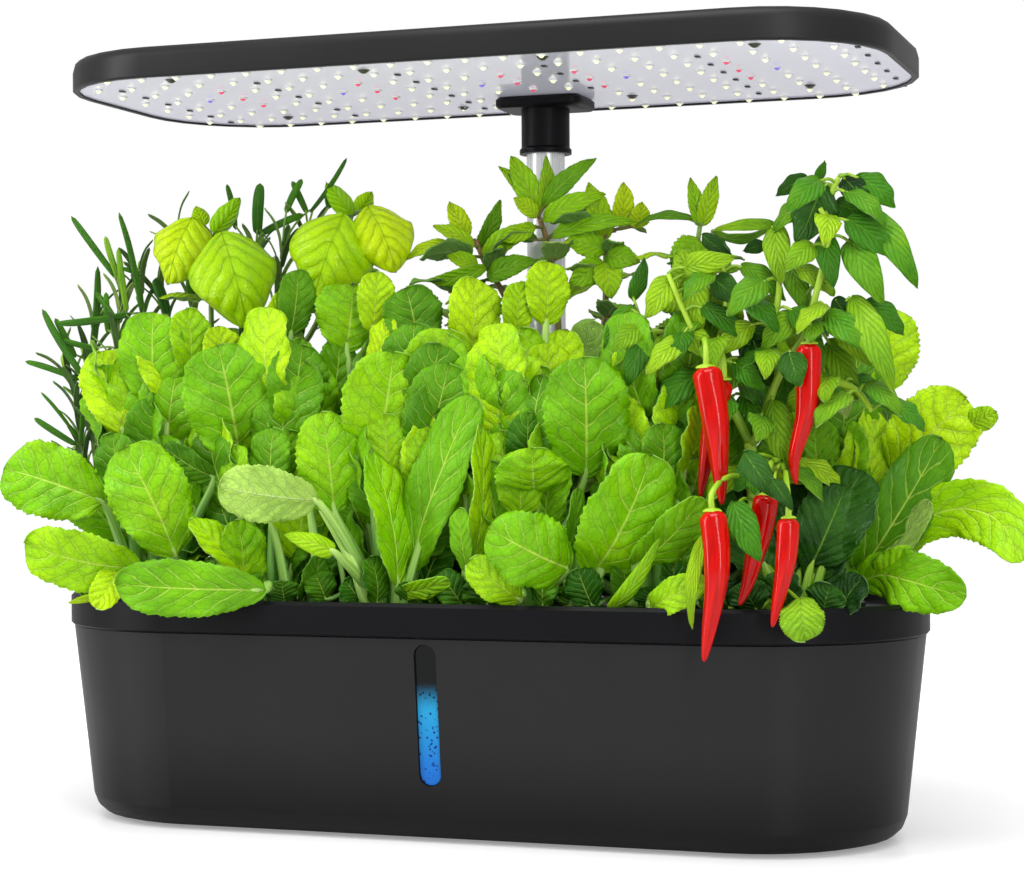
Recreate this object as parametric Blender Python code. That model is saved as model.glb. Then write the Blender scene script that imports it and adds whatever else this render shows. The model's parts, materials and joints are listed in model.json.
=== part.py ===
"""Countertop hydroponic garden: tank, planting deck with twelve pods, telescopic pole and grow lamp.

Frame: metres, +Z up, +X to the right, the window side faces -Y.
The origin is the middle of the tank's footprint, at the level that the rubber feet stand on.
"""
import math

import bmesh
import bpy
from mathutils import Matrix, Vector

# Clearances and cutting
SEAT_GAP = 0.0003
OVERRUN = 0.004
MERGE_DISTANCE = 0.000005
SHARP_ANGLE = math.radians(38)
ARC_STEPS = 18
ROUND_STEPS = 20
SMALL_ROUND_STEPS = 12

# Reservoir tank
TANK_LENGTH = 0.397
TANK_DEPTH = 0.147
TANK_BASE_LEVEL = 0.001
TANK_TOP_LEVEL = 0.088
TANK_TAPER = 0.0085
TANK_WALL = 0.0025
TANK_FLOOR = 0.0028
TANK_BASE_ROUNDING = 0.009
BASE_ROUNDING_STEPS = 3

# Rubber feet
FOOT_RADIUS = 0.006
FOOT_SEAT_DEPTH = 0.0012
FOOT_CLEARANCE = 0.0003
FOOT_END_DISTANCE = 0.0585
FOOT_SIDE_DISTANCE = 0.0385

# Level window in the front wall
WINDOW_WIDTH = 0.010
WINDOW_HEIGHT = 0.0615
WINDOW_MIDDLE_LEVEL = 0.0553
WINDOW_OFFSET = -0.001
WINDOW_RECESS = 0.0013
WINDOW_CLEARANCE = 0.0003
WINDOW_FLANGE_MARGIN = 0.0015
WINDOW_FLANGE_THICKNESS = 0.0016
WINDOW_SEAL_THICKNESS = 0.001
WINDOW_END_STEPS = 5

# Planting deck
RIM_OVERHANG = 0.0015
RIM_HEIGHT = 0.015
RIM_WIDTH = 0.0052
RIM_LIP_CHAMFER = 0.001
RIM_EDGE_ROUNDING = 0.0015
DECK_DROP = 0.005
DECK_THICKNESS = 0.0026
DECK_FILLET = 0.0012
SPIGOT_DEPTH = 0.006
SPIGOT_WALL = 0.0018
SPIGOT_CLEARANCE = 0.0005
SPIGOT_NOTCH_CLEARANCE = 0.001

# Pods: two rows of six
POD_COLUMNS = 6
POD_END_DISTANCE = 0.0485
POD_POLE_SPACING = 0.031
FRONT_ROW_SHARE = 0.37
POD_HOLE_RADIUS = 0.0164
BASKET_RADIUS = 0.0157
BASKET_FOOT_RADIUS = 0.0112
BASKET_DEPTH = 0.052
BASKET_WALL = 0.0014
BASKET_FLANGE_RADIUS = 0.0188
BASKET_FLANGE_THICKNESS = 0.0018
BASKET_DRAIN_RADIUS = 0.004
BASKET_SLOT_WIDTH = 0.003
BASKET_SLOT_HEIGHT = 0.032
BASKET_SLOT_BOTTOM = 0.006
BASKET_SLOTS = 5
BASKET_STEPS = 10
PLUG_STAND = 0.0015

# Fill port and its cap
FILL_PORT_RADIUS = 0.0098
FILL_SPOUT_DEPTH = 0.012
FILL_SPOUT_WALL = 0.0016
CAP_RADIUS = 0.0118
CAP_RIM_GAP = 0.0013
CAP_THICKNESS = 0.002
CAP_PLUG_RADIUS = 0.0093
CAP_PLUG_DEPTH = 0.004
CAP_PLUG_WALL = 0.0014
CAP_GRIP_LENGTH = 0.015
CAP_GRIP_THICKNESS = 0.0024
CAP_GRIP_HEIGHT = 0.005

# Telescopic pole
POLE_X = 0.012
POLE_RIM_GAP = 0.0002
POLE_RADIUS = 0.0090
POLE_WALL = 0.0012
POLE_FIT = 0.0004
OUTER_POLE_WALL = 0.0011
OUTER_POLE_TOP = 0.200
OUTER_POLE_SEAT = 0.002
INNER_POLE_BOTTOM = 0.118
COLLAR_WALL = 0.0016
COLLAR_HEIGHT = 0.016
COLLAR_BORE_CLEARANCE = 0.0003
BUSH_WALL = 0.0014
BUSH_HEIGHT = 0.012
BUSH_LIP_THICKNESS = 0.003
CABLE_HOLE_RADIUS = 0.004

# Grow lamp
LAMP_LENGTH = 0.380
LAMP_DEPTH = 0.176
LAMP_CORNER = 0.058
LAMP_X = 0.0
LAMP_POLE_OFFSET = 0.044
LAMP_UNDERSIDE = 0.3326
LAMP_HEIGHT = 0.0142
LAMP_TOP_ROUNDING = 0.005
LAMP_ROUNDING_STEPS = 3
LAMP_LIP_WIDTH = 0.003
LAMP_LIP_ROUNDING = 0.0008
LAMP_WALL = 0.0022
LAMP_LEDGE_WIDTH = 0.0025
BOARD_RECESS = 0.0008
BOARD_THICKNESS = 0.0016
LAMP_CORNER_STEPS = 7
LAMP_VENT_COUNT = 9
LAMP_VENT_PITCH = 0.007
LAMP_VENT_WIDTH = 0.0025
LAMP_VENT_LENGTH = 0.026
LAMP_VENT_X = -0.095
LAMP_VENT_BUTTON_SPACING = 0.024

# Lamp mount under the lamp
MOUNT_LENGTH = 0.042
MOUNT_DEPTH = 0.031
MOUNT_THICKNESS = 0.0052
MOUNT_CORNER = 0.005
MOUNT_EDGE_ROUNDING = 0.0012
SOCKET_WALL = 0.0021
SOCKET_LENGTH = 0.021
SOCKET_LIP = 0.0009
SOCKET_LIP_HEIGHT = 0.0022
SOCKET_FIT = 0.0003
SOCKET_ROOF = 0.002

# Inside the lamp
DRIVER_LENGTH = 0.062
DRIVER_DEPTH = 0.034
DRIVER_HEIGHT = 0.0068
DRIVER_X = -0.040
DRIVER_BUTTON_SPACING = 0.034
CONTROL_LENGTH = 0.048
CONTROL_DEPTH = 0.018
CONTROL_THICKNESS = 0.0014
CONTROL_POST_WIDTH = 0.003
SWITCH_WIDTH = 0.0045
BUTTON_SPACING = 0.026
BUTTON_EDGE_DISTANCE = 0.036
BUTTON_RADIUS = 0.0046
BUTTON_CLEARANCE = 0.0003
BUTTON_STAND = 0.0009
BUTTON_TRAVEL = 0.0008
BUTTON_FLANGE_WIDTH = 0.0012
BUTTON_FLANGE_THICKNESS = 0.001
BUTTON_STEM_LENGTH = 0.0009
JACK_X = 0.075
JACK_BARREL_RADIUS = 0.0036
JACK_BORE_RADIUS = 0.0025
JACK_PIN_RADIUS = 0.0007
JACK_PIN_LENGTH = 0.007
JACK_BORE_DEPTH = 0.009
JACK_LENGTH = 0.014
JACK_WIDTH = 0.0084
JACK_LEVEL = 0.0066
JACK_STAND_HEIGHT = 0.0006

# Circulation pump on the tank floor
PUMP_X = 0.075
PUMP_Y = 0.0
PUMP_LENGTH = 0.040
PUMP_DEPTH = 0.032
PUMP_HEIGHT = 0.027
PUMP_ROUNDING = 0.003
PUMP_CHAMBER_RADIUS = 0.0095
PUMP_CHAMBER_DEPTH = 0.009
PUMP_OUTLET_RADIUS = 0.0036
PUMP_OUTLET_BORE = 0.0024
PUMP_OUTLET_HEIGHT = 0.006
PUMP_OUTLET_RUN = 0.012
IMPELLER_RADIUS = 0.0082
IMPELLER_HUB_RADIUS = 0.0024
IMPELLER_BLADE_THICKNESS = 0.001
IMPELLER_HEIGHT = 0.0065
IMPELLER_BLADES = 6
IMPELLER_BLADE_SHARE = 0.8
PUMP_COVER_RADIUS = 0.0122
PUMP_COVER_THICKNESS = 0.002
PUMP_COVER_SLOT_WIDTH = 0.0016
PUMP_COVER_SLOT_LENGTH = 0.016
PUMP_COVER_SLOT_PITCH = 0.0036
PUMP_COVER_SLOTS = 5

# Plants: each one keeps to its own cell, so that any pod lifts straight out past its neighbours
CELL_SIDE_GAP = 0.0008
CELL_ROW_GAP = 0.0003
CHILI_CELL_SHIFT = 0.009
POLE_CELL_GAP = 0.0014
CAP_CELL_BACK = 0.026
LEAST_ROOM_SHARE = 0.5
LEAF_REACH_SHARE = 1.4
STALK_RADIUS = 0.0075
STALK_TOP_RADIUS = 0.0055
STALK_HEIGHT = 0.016
GREENS_LENGTH = 0.118
GREENS_WIDTH = 0.044
LEAF_THICKNESS = 0.0034
LEAF_FOOT_SHARE = 0.6
HERB_HEIGHT = 0.150
HERB_STEM_WIDTH = 0.0040
HERB_STALK_HEIGHT = 0.008
MINT_LEAF_LENGTH = 0.042
MINT_LEAF_WIDTH = 0.018
BALM_LEAF_LENGTH = 0.040
BALM_LEAF_WIDTH = 0.024
BASIL_LEAF_LENGTH = 0.040
BASIL_LEAF_WIDTH = 0.031
SMALL_LEAF_THICKNESS = 0.0030
ROSEMARY_LENGTH = 0.185
ROSEMARY_SPRIG_WIDTH = 0.0080
NEEDLE_LENGTH = 0.024
NEEDLE_WIDTH = 0.0046
CHILI_STEM_HEIGHT = 0.098
CHILI_STEM_WIDTH = 0.0055
CHILI_BRANCH_LENGTH = 0.062
CHILI_BRANCH_WIDTH = 0.0036
CHILI_LEAF_LENGTH = 0.046
CHILI_LEAF_WIDTH = 0.021
CHILI_FRUIT_LENGTH = 0.056
CHILI_FRUIT_WIDTH = 0.0112
CHILI_CALYX_HEIGHT = 0.010
CHILI_CALYX_WIDTH = 0.0062

# Stations along a leaf, stem or fruit: place along it, then width and thickness shares
SPOON_LEAF_SHARES = ((0.0, 0.11, 1.0), (0.38, 0.13, 1.1), (0.66, 0.92, 1.0), (1.0, 0.36, 0.5))
LANCE_LEAF_SHARES = ((0.0, 0.10, 0.7), (0.3, 0.86, 1.0), (0.62, 0.88, 1.0), (1.0, 0.14, 0.5))
ROUND_LEAF_SHARES = ((0.0, 0.08, 0.7), (0.3, 0.94, 1.0), (0.72, 0.92, 1.0), (1.0, 0.24, 0.5))
STEM_SHARES = ((0.0, 1.0, 1.0), (1.0, 0.8, 0.8))
SPRIG_SHARES = ((0.0, 0.35, 0.35), (0.25, 0.9, 0.9), (0.7, 1.0, 1.0), (1.0, 0.2, 0.2))
NEEDLE_SHARES = ((0.0, 1.0, 1.0), (1.0, 0.3, 0.3))
FRUIT_SHARES = ((0.0, 0.6, 0.6), (0.12, 1.0, 1.0), (0.5, 0.86, 0.86), (0.82, 0.48, 0.48), (1.0, 0.12, 0.12))
CALYX_SHARES = ((0.0, 0.45, 0.45), (1.0, 1.0, 1.0))

# Rosettes: heading and rises in degrees, then shares of length, width and stalk height
GREENS_OUTER_LEAF_SHARES = (
    (0, 70, 34, 0.86, 0.90, 0.3), (60, 80, 60, 1.02, 0.95, 0.6), (122, 80, 58, 1.04, 1.00, 0.4),
    (180, 68, 28, 0.92, 1.00, 0.5), (240, 66, 18, 0.90, 0.96, 0.3), (298, 70, 26, 0.94, 0.96, 0.6))
GREENS_INNER_LEAF_SHARES = (
    (268, 82, 64, 1.08, 0.92, 0.9), (212, 84, 66, 0.98, 0.84, 0.8), (326, 84, 62, 0.92, 0.84, 0.9),
    (278, 78, 58, 0.76, 0.90, 0.5))
ROSEMARY_SPRIG_SHARES = (
    (196, 46, 6, 0.68, 0.0), (180, 60, 30, 0.82, 0.2), (166, 72, 52, 0.94, 0.4), (142, 80, 62, 1.00, 0.6),
    (112, 84, 70, 1.02, 0.8), (84, 86, 78, 0.98, 0.9), (20, 84, 76, 0.92, 0.5))
NEEDLE_PLACE_SHARES = (0.42, 0.56, 0.70, 0.84)
NEEDLE_TURN = 75
NEEDLE_RISE = 48
MINT_STEM_SHARES = ((205, 84, 74, 0.92), (20, 88, 84, 1.08))
BALM_STEM_SHARES = ((170, 84, 72, 0.86), (-15, 86, 76, 0.96))
BASIL_STEM_SHARES = ((182, 87, 82, 0.80), (4, 88, 84, 0.90))
HERB_PAIR_SHARES = (0.62, 1.0)
HERB_LEAF_RISE = 30
HERB_TIP_LEAF_RISE = 20
BASIL_CROWN_LEAVES = 4
BASIL_LEAF_RISES = (52, -38)
CHILI_LEAF_RISES = (40, -40)
CHILI_STEM_HEADING = 60
CHILI_STEM_RISES = (88, 84)
CHILI_BRANCH_SHARES = ((172, 78, 62, 0.95), (70, 84, 74, 1.10), (-25, 58, 14, 0.95))
CHILI_LEAF_HEADINGS = (-110, 10, 125)
# Fruits: place across the pod in cell halves and ahead of it in distances to the rim's face, top above the deck
# in stem heights, length and width shares, then the heading and the lean from upright in degrees
CHILI_FRUIT_SHARES = (
    (-1.03, 0.68, 1.06, 1.04, 1.08, 0, 6), (-0.80, 0.36, 1.01, 0.92, 0.88, 180, 12),
    (0.35, 0.44, 1.16, 1.06, 1.00, 180, 6), (-0.73, 1.32, 0.47, 1.10, 1.00, 180, 5),
    (-0.10, 0.93, 0.53, 0.84, 1.00, 180, 15), (0.30, 1.22, 0.44, 0.81, 0.82, 180, 9))
CHILI_FRUIT_BOW = 5
CHILI_HOLD_SHARE = 0.8
CHILI_HIGHEST_HOLD_SHARE = 0.9

# Greens: length shares and turns in degrees, five of the front row and the one in the rear row
GREENS_LENGTH_SHARES = (1.0, 1.02, 1.08, 0.98, 1.0, 1.08)
GREENS_TURNS = (0, 24, -16, 30, -8, 20)


def material(name, colour, roughness, metallic=0.0):
    """A Principled material in the piece's own colour."""
    made = bpy.data.materials.new(name)
    made.use_nodes = True
    shader = made.node_tree.nodes["Principled BSDF"]
    shader.inputs["Base Color"].default_value = (*colour, 1.0)
    shader.inputs["Roughness"].default_value = roughness
    shader.inputs["Metallic"].default_value = metallic
    return made


def place_object(bm, name, finish):
    """Turns a bmesh into a named object with smooth round faces and sharp edges."""
    bmesh.ops.remove_doubles(bm, verts=bm.verts, dist=MERGE_DISTANCE)
    bmesh.ops.recalc_face_normals(bm, faces=bm.faces)
    mesh = bpy.data.meshes.new(name)
    bm.to_mesh(mesh)
    bm.free()
    made = bpy.data.objects.new(name, mesh)
    bpy.context.scene.collection.objects.link(made)
    if finish:
        mesh.materials.append(finish)
    mesh.shade_smooth()
    mesh.set_sharp_from_angle(angle=SHARP_ANGLE)
    return made


def boolean(target, tools, operation):
    """Cuts the tools from the target, or unites them with it, and removes the tools."""
    group = bpy.data.collections.new(target.name + "_tools")
    bpy.context.scene.collection.children.link(group)
    for tool in tools:
        group.objects.link(tool)
    step = target.modifiers.new(operation, "BOOLEAN")
    step.operation = operation
    step.operand_type = "COLLECTION"
    step.collection = group
    step.solver = "EXACT"
    step.use_self = True
    made = bpy.data.meshes.new_from_object(target.evaluated_get(bpy.context.evaluated_depsgraph_get()))
    target.modifiers.clear()
    target.data = made
    for tool in tools:
        bpy.data.objects.remove(tool)
    bpy.data.collections.remove(group)
    made.shade_smooth()
    made.set_sharp_from_angle(angle=SHARP_ANGLE)
    return target


def cut(target, *tools):
    return boolean(target, tools, "DIFFERENCE")


def unite(target, *pieces):
    return boolean(target, pieces, "UNION")


def outline(length, depth, corner, inset, level, steps=ARC_STEPS):
    """Points round a rounded rectangle drawn in by inset; half its depth as corner gives a stadium."""
    radius = corner - inset
    points = []
    quarter_steps = steps // 2
    for quadrant in range(4):
        side_x = 1 if quadrant in (0, 3) else -1
        side_y = 1 if quadrant in (0, 1) else -1
        centre = Vector((side_x * (length / 2 - corner), side_y * (depth / 2 - corner), level))
        for step in range(quarter_steps + 1):
            angle = math.radians(90) * (quadrant + step / quarter_steps)
            point = centre + radius * Vector((math.cos(angle), math.sin(angle), 0))
            if not points or (point - points[-1]).length > MERGE_DISTANCE:
                points.append(point)
    if (points[0] - points[-1]).length < MERGE_DISTANCE:
        points.pop()
    return points


def lofted(name, rings, finish, flat_sides=True):
    """Extrudes one face through a row of outlines, and closes the far end; twisted sides become triangles."""
    bm = bmesh.new()
    face = bm.faces.new([bm.verts.new(point) for point in rings[0]])
    for ring in rings[1:]:
        face = bmesh.ops.extrude_discrete_faces(bm, faces=[face])["faces"][0]
        for vert, point in zip(face.verts, ring):
            vert.co = point
    bmesh.ops.holes_fill(bm, edges=[edge for edge in bm.edges if edge.is_boundary])
    if not flat_sides:
        bmesh.ops.triangulate(bm, faces=bm.faces)
    return place_object(bm, name, finish)


def turned(name, profile, finish, steps=ROUND_STEPS, place=(0, 0, 0)):
    """Spins a closed profile of (radius, level) points round an upright axis through the place."""
    bm = bmesh.new()
    verts = [bm.verts.new((radius, 0, level)) for radius, level in profile]
    edges = [bm.edges.new((verts[index - 1], verts[index])) for index in range(len(verts))]
    bmesh.ops.spin(bm, geom=verts + edges, axis=(0, 0, 1), cent=(0, 0, 0), steps=steps,
                   angle=math.radians(360), use_merge=True)
    made = place_object(bm, name, finish)
    made.location = place
    return made


def disc(name, radius, low, high, finish, steps=ROUND_STEPS, place=(0, 0, 0)):
    """A plain round solid, also used as a drill; its corners line up with those of turned pieces."""
    bm = bmesh.new()
    lift = Matrix.Translation((0, 0, (low + high) / 2)) @ Matrix.Rotation(math.radians(-90), 4, "Z")
    bmesh.ops.create_cone(bm, cap_ends=True, segments=steps, radius1=radius, radius2=radius, depth=high - low,
                          matrix=lift)
    made = place_object(bm, name, finish)
    made.location = place
    return made


def block(name, centre, size, finish, corner=0.0, edge=0.0, corner_steps=3):
    """A box with rounded upright corners and softened edges."""
    bm = bmesh.new()
    bmesh.ops.create_cube(bm, size=1.0)
    bmesh.ops.scale(bm, vec=size, verts=bm.verts)
    if corner:
        upright = [e for e in bm.edges if abs(e.verts[0].co.z - e.verts[1].co.z) > MERGE_DISTANCE]
        bmesh.ops.bevel(bm, geom=upright, offset=corner, segments=corner_steps, profile=0.5, affect="EDGES")
    if edge:
        flat = [e for e in bm.edges if e.calc_face_angle() > SHARP_ANGLE]
        bmesh.ops.bevel(bm, geom=flat, offset=edge, segments=1, profile=0.5, affect="EDGES")
    bmesh.ops.translate(bm, vec=centre, verts=bm.verts)
    return place_object(bm, name, finish)


def bake_place(made, matrix):
    """Moves a piece's points by a matrix, so that the piece can be cut or united in place."""
    made.data.transform(matrix)
    return made


def slot_bar(name, length, width, low, high, finish):
    """A bar with round ends lying along Z, its thickness along Y from low to high."""
    rings = [outline(length, width, width / 2, 0, level, 2 * WINDOW_END_STEPS) for level in (low, high)]
    made = lofted(name, rings, finish)
    upright = Matrix(((0, 1, 0, 0), (0, 0, 1, 0), (1, 0, 0, 0), (0, 0, 0, 1)))
    return bake_place(made, upright)


# Materials
satin_charcoal = material("satin_charcoal", (0.036, 0.036, 0.037), 0.42)
rim_black = material("rim_black", (0.016, 0.016, 0.018), 0.35)
clear_blue = material("clear_blue", (0.03, 0.28, 0.60), 0.12)
foot_rubber = material("foot_rubber", (0.03, 0.03, 0.03), 0.8)
seal_rubber = material("seal_rubber", (0.04, 0.04, 0.04), 0.7)
basket_plastic = material("basket_plastic", (0.03, 0.03, 0.03), 0.5)
pole_aluminium = material("pole_aluminium", (0.80, 0.80, 0.82), 0.3, 0.9)
board_white = material("board_white", (0.76, 0.74, 0.85), 0.18)
circuit_green = material("circuit_green", (0.02, 0.12, 0.05), 0.5)
pump_black = material("pump_black", (0.025, 0.025, 0.027), 0.45)
impeller_white = material("impeller_white", (0.7, 0.7, 0.68), 0.4)
leaf_green = material("leaf_green", (0.16, 0.42, 0.03), 0.45)
herb_green = material("herb_green", (0.10, 0.30, 0.05), 0.5)
chili_red = material("chili_red", (0.72, 0.01, 0.005), 0.18)


# Reservoir tank
RIM_LENGTH = TANK_LENGTH + 2 * RIM_OVERHANG
RIM_DEPTH = TANK_DEPTH + 2 * RIM_OVERHANG
TANK_SLOPE_LEVEL = TANK_BASE_LEVEL + TANK_BASE_ROUNDING
TANK_SLOPE = TANK_TAPER / (TANK_TOP_LEVEL - TANK_SLOPE_LEVEL)
TANK_FLOOR_LEVEL = TANK_BASE_LEVEL + TANK_FLOOR


def tank_outline(inset, level):
    return outline(TANK_LENGTH, TANK_DEPTH, TANK_DEPTH / 2, inset, level)


def wall_inset(level):
    """How far the tank's outer wall has come in at a level."""
    return TANK_SLOPE * (TANK_TOP_LEVEL - level)


def base_rings(wall, floor_level, rounding):
    """The rounded edge between a floor and a wall, from the floor up."""
    rings = []
    for step in range(BASE_ROUNDING_STEPS + 1):
        angle = math.radians(90) * step / BASE_ROUNDING_STEPS
        level = floor_level + rounding * (1 - math.cos(angle))
        rings.append((wall_inset(level) + wall + rounding * (1 - math.sin(angle)), level))
    return rings


def front_wall_frame():
    """The outer face of the sloping front wall at the window, with Y into the tank and Z up the wall."""
    y = -(TANK_DEPTH / 2 - wall_inset(WINDOW_MIDDLE_LEVEL))
    tilt = Matrix.Rotation(math.atan(TANK_SLOPE), 4, "X")
    return Matrix.Translation((WINDOW_OFFSET, y, WINDOW_MIDDLE_LEVEL)) @ tilt


def foot_places():
    x = TANK_LENGTH / 2 - FOOT_END_DISTANCE
    y = TANK_DEPTH / 2 - FOOT_SIDE_DISTANCE
    return [(x * end, y * side) for side in (-1, 1) for end in (-1, 1)]


def build_tank():
    outer = base_rings(0, TANK_BASE_LEVEL, TANK_BASE_ROUNDING) + [(0, TANK_TOP_LEVEL)]
    inner = base_rings(TANK_WALL, TANK_FLOOR_LEVEL, TANK_BASE_ROUNDING - TANK_WALL) + [(TANK_WALL, TANK_TOP_LEVEL)]
    rings = [tank_outline(inset, level) for inset, level in outer + inner[::-1]]
    tank = lofted("reservoir_tank", rings, satin_charcoal)
    slot = slot_bar("window_slot", WINDOW_HEIGHT, WINDOW_WIDTH, -OVERRUN, TANK_WALL + OVERRUN, None)
    bake_place(slot, front_wall_frame())
    seats = []
    for x, y in foot_places():
        seat = disc("foot_seat", FOOT_RADIUS + FOOT_CLEARANCE, -OVERRUN, TANK_BASE_LEVEL + FOOT_SEAT_DEPTH, None,
                    SMALL_ROUND_STEPS, (x, y, 0))
        seats.append(seat)
    cut(tank, slot, *seats)


def build_feet():
    for number, (x, y) in enumerate(foot_places(), 1):
        top = TANK_BASE_LEVEL + FOOT_SEAT_DEPTH - SEAT_GAP
        disc(f"rubber_foot_{number}", FOOT_RADIUS, 0, top, foot_rubber, SMALL_ROUND_STEPS, (x, y, 0))


def build_window():
    """A clear bar in the slot, on a flange that holds a rubber seal against the inside of the wall."""
    seal_face = TANK_WALL + SEAT_GAP
    flange_face = seal_face + WINDOW_SEAL_THICKNESS + SEAT_GAP
    flange_back = flange_face + WINDOW_FLANGE_THICKNESS
    core_height = WINDOW_HEIGHT - 2 * WINDOW_CLEARANCE
    core_width = WINDOW_WIDTH - 2 * WINDOW_CLEARANCE
    flange_height = WINDOW_HEIGHT + 2 * WINDOW_FLANGE_MARGIN
    flange_width = WINDOW_WIDTH + 2 * WINDOW_FLANGE_MARGIN
    middle = (flange_face + flange_back) / 2
    window = slot_bar("level_window", core_height, core_width, WINDOW_RECESS, middle, clear_blue)
    unite(window, slot_bar("window_flange", flange_height, flange_width, flange_face, flange_back, clear_blue))
    bake_place(window, front_wall_frame())
    seal = slot_bar("window_seal", flange_height, flange_width, seal_face, flange_face - SEAT_GAP, seal_rubber)
    cut(seal, slot_bar("seal_bore", WINDOW_HEIGHT, WINDOW_WIDTH, 0, flange_face + OVERRUN, None))
    bake_place(seal, front_wall_frame())


# Planting deck
DECK_UNDER_RIM = TANK_TOP_LEVEL + SEAT_GAP
RIM_TOP = TANK_TOP_LEVEL + RIM_HEIGHT
DECK_TOP = RIM_TOP - DECK_DROP
DECK_UNDERSIDE = DECK_TOP - DECK_THICKNESS
SPIGOT_FOOT = DECK_UNDER_RIM - SPIGOT_DEPTH
SPIGOT_INSET = RIM_OVERHANG + TANK_WALL + wall_inset(SPIGOT_FOOT) + SPIGOT_CLEARANCE
DECK_EDGE = RIM_DEPTH / 2 - RIM_WIDTH - DECK_FILLET

# The pole's sizes, which place it behind the pods
OUTER_POLE_BORE = POLE_RADIUS + POLE_FIT
OUTER_POLE_RADIUS = OUTER_POLE_BORE + OUTER_POLE_WALL
COLLAR_BORE = OUTER_POLE_RADIUS + COLLAR_BORE_CLEARANCE
COLLAR_RADIUS = COLLAR_BORE + COLLAR_WALL
POLE_Y = DECK_EDGE - COLLAR_RADIUS - POLE_RIM_GAP
POLE_PLACE = (POLE_X, POLE_Y, 0)

# Pod and fill port places
POD_PITCH = (TANK_LENGTH - 2 * POD_END_DISTANCE) / (POD_COLUMNS - 1)
POD_REAR_ROW = POLE_Y - POD_POLE_SPACING
POD_FRONT_ROW = -DECK_EDGE + (DECK_EDGE + POD_REAR_ROW) * FRONT_ROW_SHARE
FILL_PORT_X = -POD_PITCH
FILL_PORT_Y = DECK_EDGE - CAP_RADIUS - CAP_RIM_GAP


def pod_places():
    """The twelve pod centres, front row first, each from left to right."""
    columns = [(column - (POD_COLUMNS - 1) / 2) * POD_PITCH for column in range(POD_COLUMNS)]
    return [(x, y) for y in (POD_FRONT_ROW, POD_REAR_ROW) for x in columns]


def build_deck():
    section = (
        (RIM_WIDTH + DECK_FILLET, DECK_TOP),
        (RIM_WIDTH, DECK_TOP + DECK_FILLET),
        (RIM_WIDTH, RIM_TOP - RIM_EDGE_ROUNDING / 2),
        (RIM_WIDTH - RIM_EDGE_ROUNDING / 2, RIM_TOP),
        (RIM_EDGE_ROUNDING, RIM_TOP),
        (0, RIM_TOP - RIM_EDGE_ROUNDING),
        (0, DECK_UNDER_RIM + RIM_LIP_CHAMFER),
        (RIM_LIP_CHAMFER, DECK_UNDER_RIM),
        (SPIGOT_INSET, DECK_UNDER_RIM),
        (SPIGOT_INSET, SPIGOT_FOOT),
        (SPIGOT_INSET + SPIGOT_WALL, SPIGOT_FOOT),
        (SPIGOT_INSET + SPIGOT_WALL, DECK_UNDERSIDE))
    rings = [outline(RIM_LENGTH, RIM_DEPTH, RIM_DEPTH / 2, inset, level) for inset, level in section]
    deck = lofted("planting_deck", rings, rim_black)
    spout_radius = FILL_PORT_RADIUS + FILL_SPOUT_WALL
    spout = disc("fill_spout", spout_radius, DECK_TOP - FILL_SPOUT_DEPTH, (DECK_TOP + DECK_UNDERSIDE) / 2, rim_black,
                 ROUND_STEPS, (FILL_PORT_X, FILL_PORT_Y, 0))
    unite(deck, spout)
    drills = [disc("pod_drill", POD_HOLE_RADIUS, DECK_UNDERSIDE - OVERRUN, DECK_TOP + OVERRUN, None, BASKET_STEPS,
                   (x, y, 0)) for x, y in pod_places()]
    drills.append(disc("fill_drill", FILL_PORT_RADIUS, DECK_TOP - FILL_SPOUT_DEPTH - OVERRUN, DECK_TOP + OVERRUN,
                       None, ROUND_STEPS, (FILL_PORT_X, FILL_PORT_Y, 0)))
    drills.append(disc("cable_drill", CABLE_HOLE_RADIUS, DECK_UNDERSIDE - OVERRUN, DECK_TOP + OVERRUN, None,
                       SMALL_ROUND_STEPS, (POLE_X, POLE_Y, 0)))
    notch_width = WINDOW_WIDTH + 2 * (WINDOW_FLANGE_MARGIN + SPIGOT_NOTCH_CLEARANCE)
    notch_y = -(RIM_DEPTH / 2 - SPIGOT_INSET - SPIGOT_WALL / 2)
    notch_height = DECK_UNDER_RIM - SPIGOT_FOOT + OVERRUN
    drills.append(block("window_notch", (WINDOW_OFFSET, notch_y, DECK_UNDER_RIM - notch_height / 2),
                        (notch_width, SPIGOT_WALL + 2 * OVERRUN, notch_height), None))
    cut(deck, *drills)


def build_fill_cap():
    low = DECK_TOP + SEAT_GAP
    top = low + CAP_THICKNESS
    foot = low - CAP_PLUG_DEPTH
    profile = (
        (0, foot + CAP_PLUG_WALL), (CAP_PLUG_RADIUS - CAP_PLUG_WALL, foot + CAP_PLUG_WALL),
        (CAP_PLUG_RADIUS - CAP_PLUG_WALL, foot), (CAP_PLUG_RADIUS, foot), (CAP_PLUG_RADIUS, low), (CAP_RADIUS, low),
        (CAP_RADIUS, top - CAP_THICKNESS / 3), (CAP_RADIUS - CAP_THICKNESS / 3, top), (0, top))
    place = (FILL_PORT_X, FILL_PORT_Y, 0)
    cap = turned("fill_cap", profile, rim_black, ROUND_STEPS, place)
    grip_height = CAP_GRIP_HEIGHT + CAP_THICKNESS / 2
    grip = block("cap_grip", (0, 0, top - CAP_THICKNESS / 2 + grip_height / 2),
                 (CAP_GRIP_LENGTH, CAP_GRIP_THICKNESS, grip_height), rim_black, CAP_GRIP_THICKNESS / 3)
    grip.location = place
    unite(cap, grip)


# Grow baskets
BASKET_FLANGE_LEVEL = DECK_TOP + SEAT_GAP
BASKET_TOP = BASKET_FLANGE_LEVEL + BASKET_FLANGE_THICKNESS
BASKET_FOOT_LEVEL = DECK_TOP - BASKET_DEPTH
BASKET_TAPER = (BASKET_RADIUS - BASKET_FOOT_RADIUS) / BASKET_DEPTH


def basket_radius(level):
    return BASKET_FOOT_RADIUS + BASKET_TAPER * (level - BASKET_FOOT_LEVEL)


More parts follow.
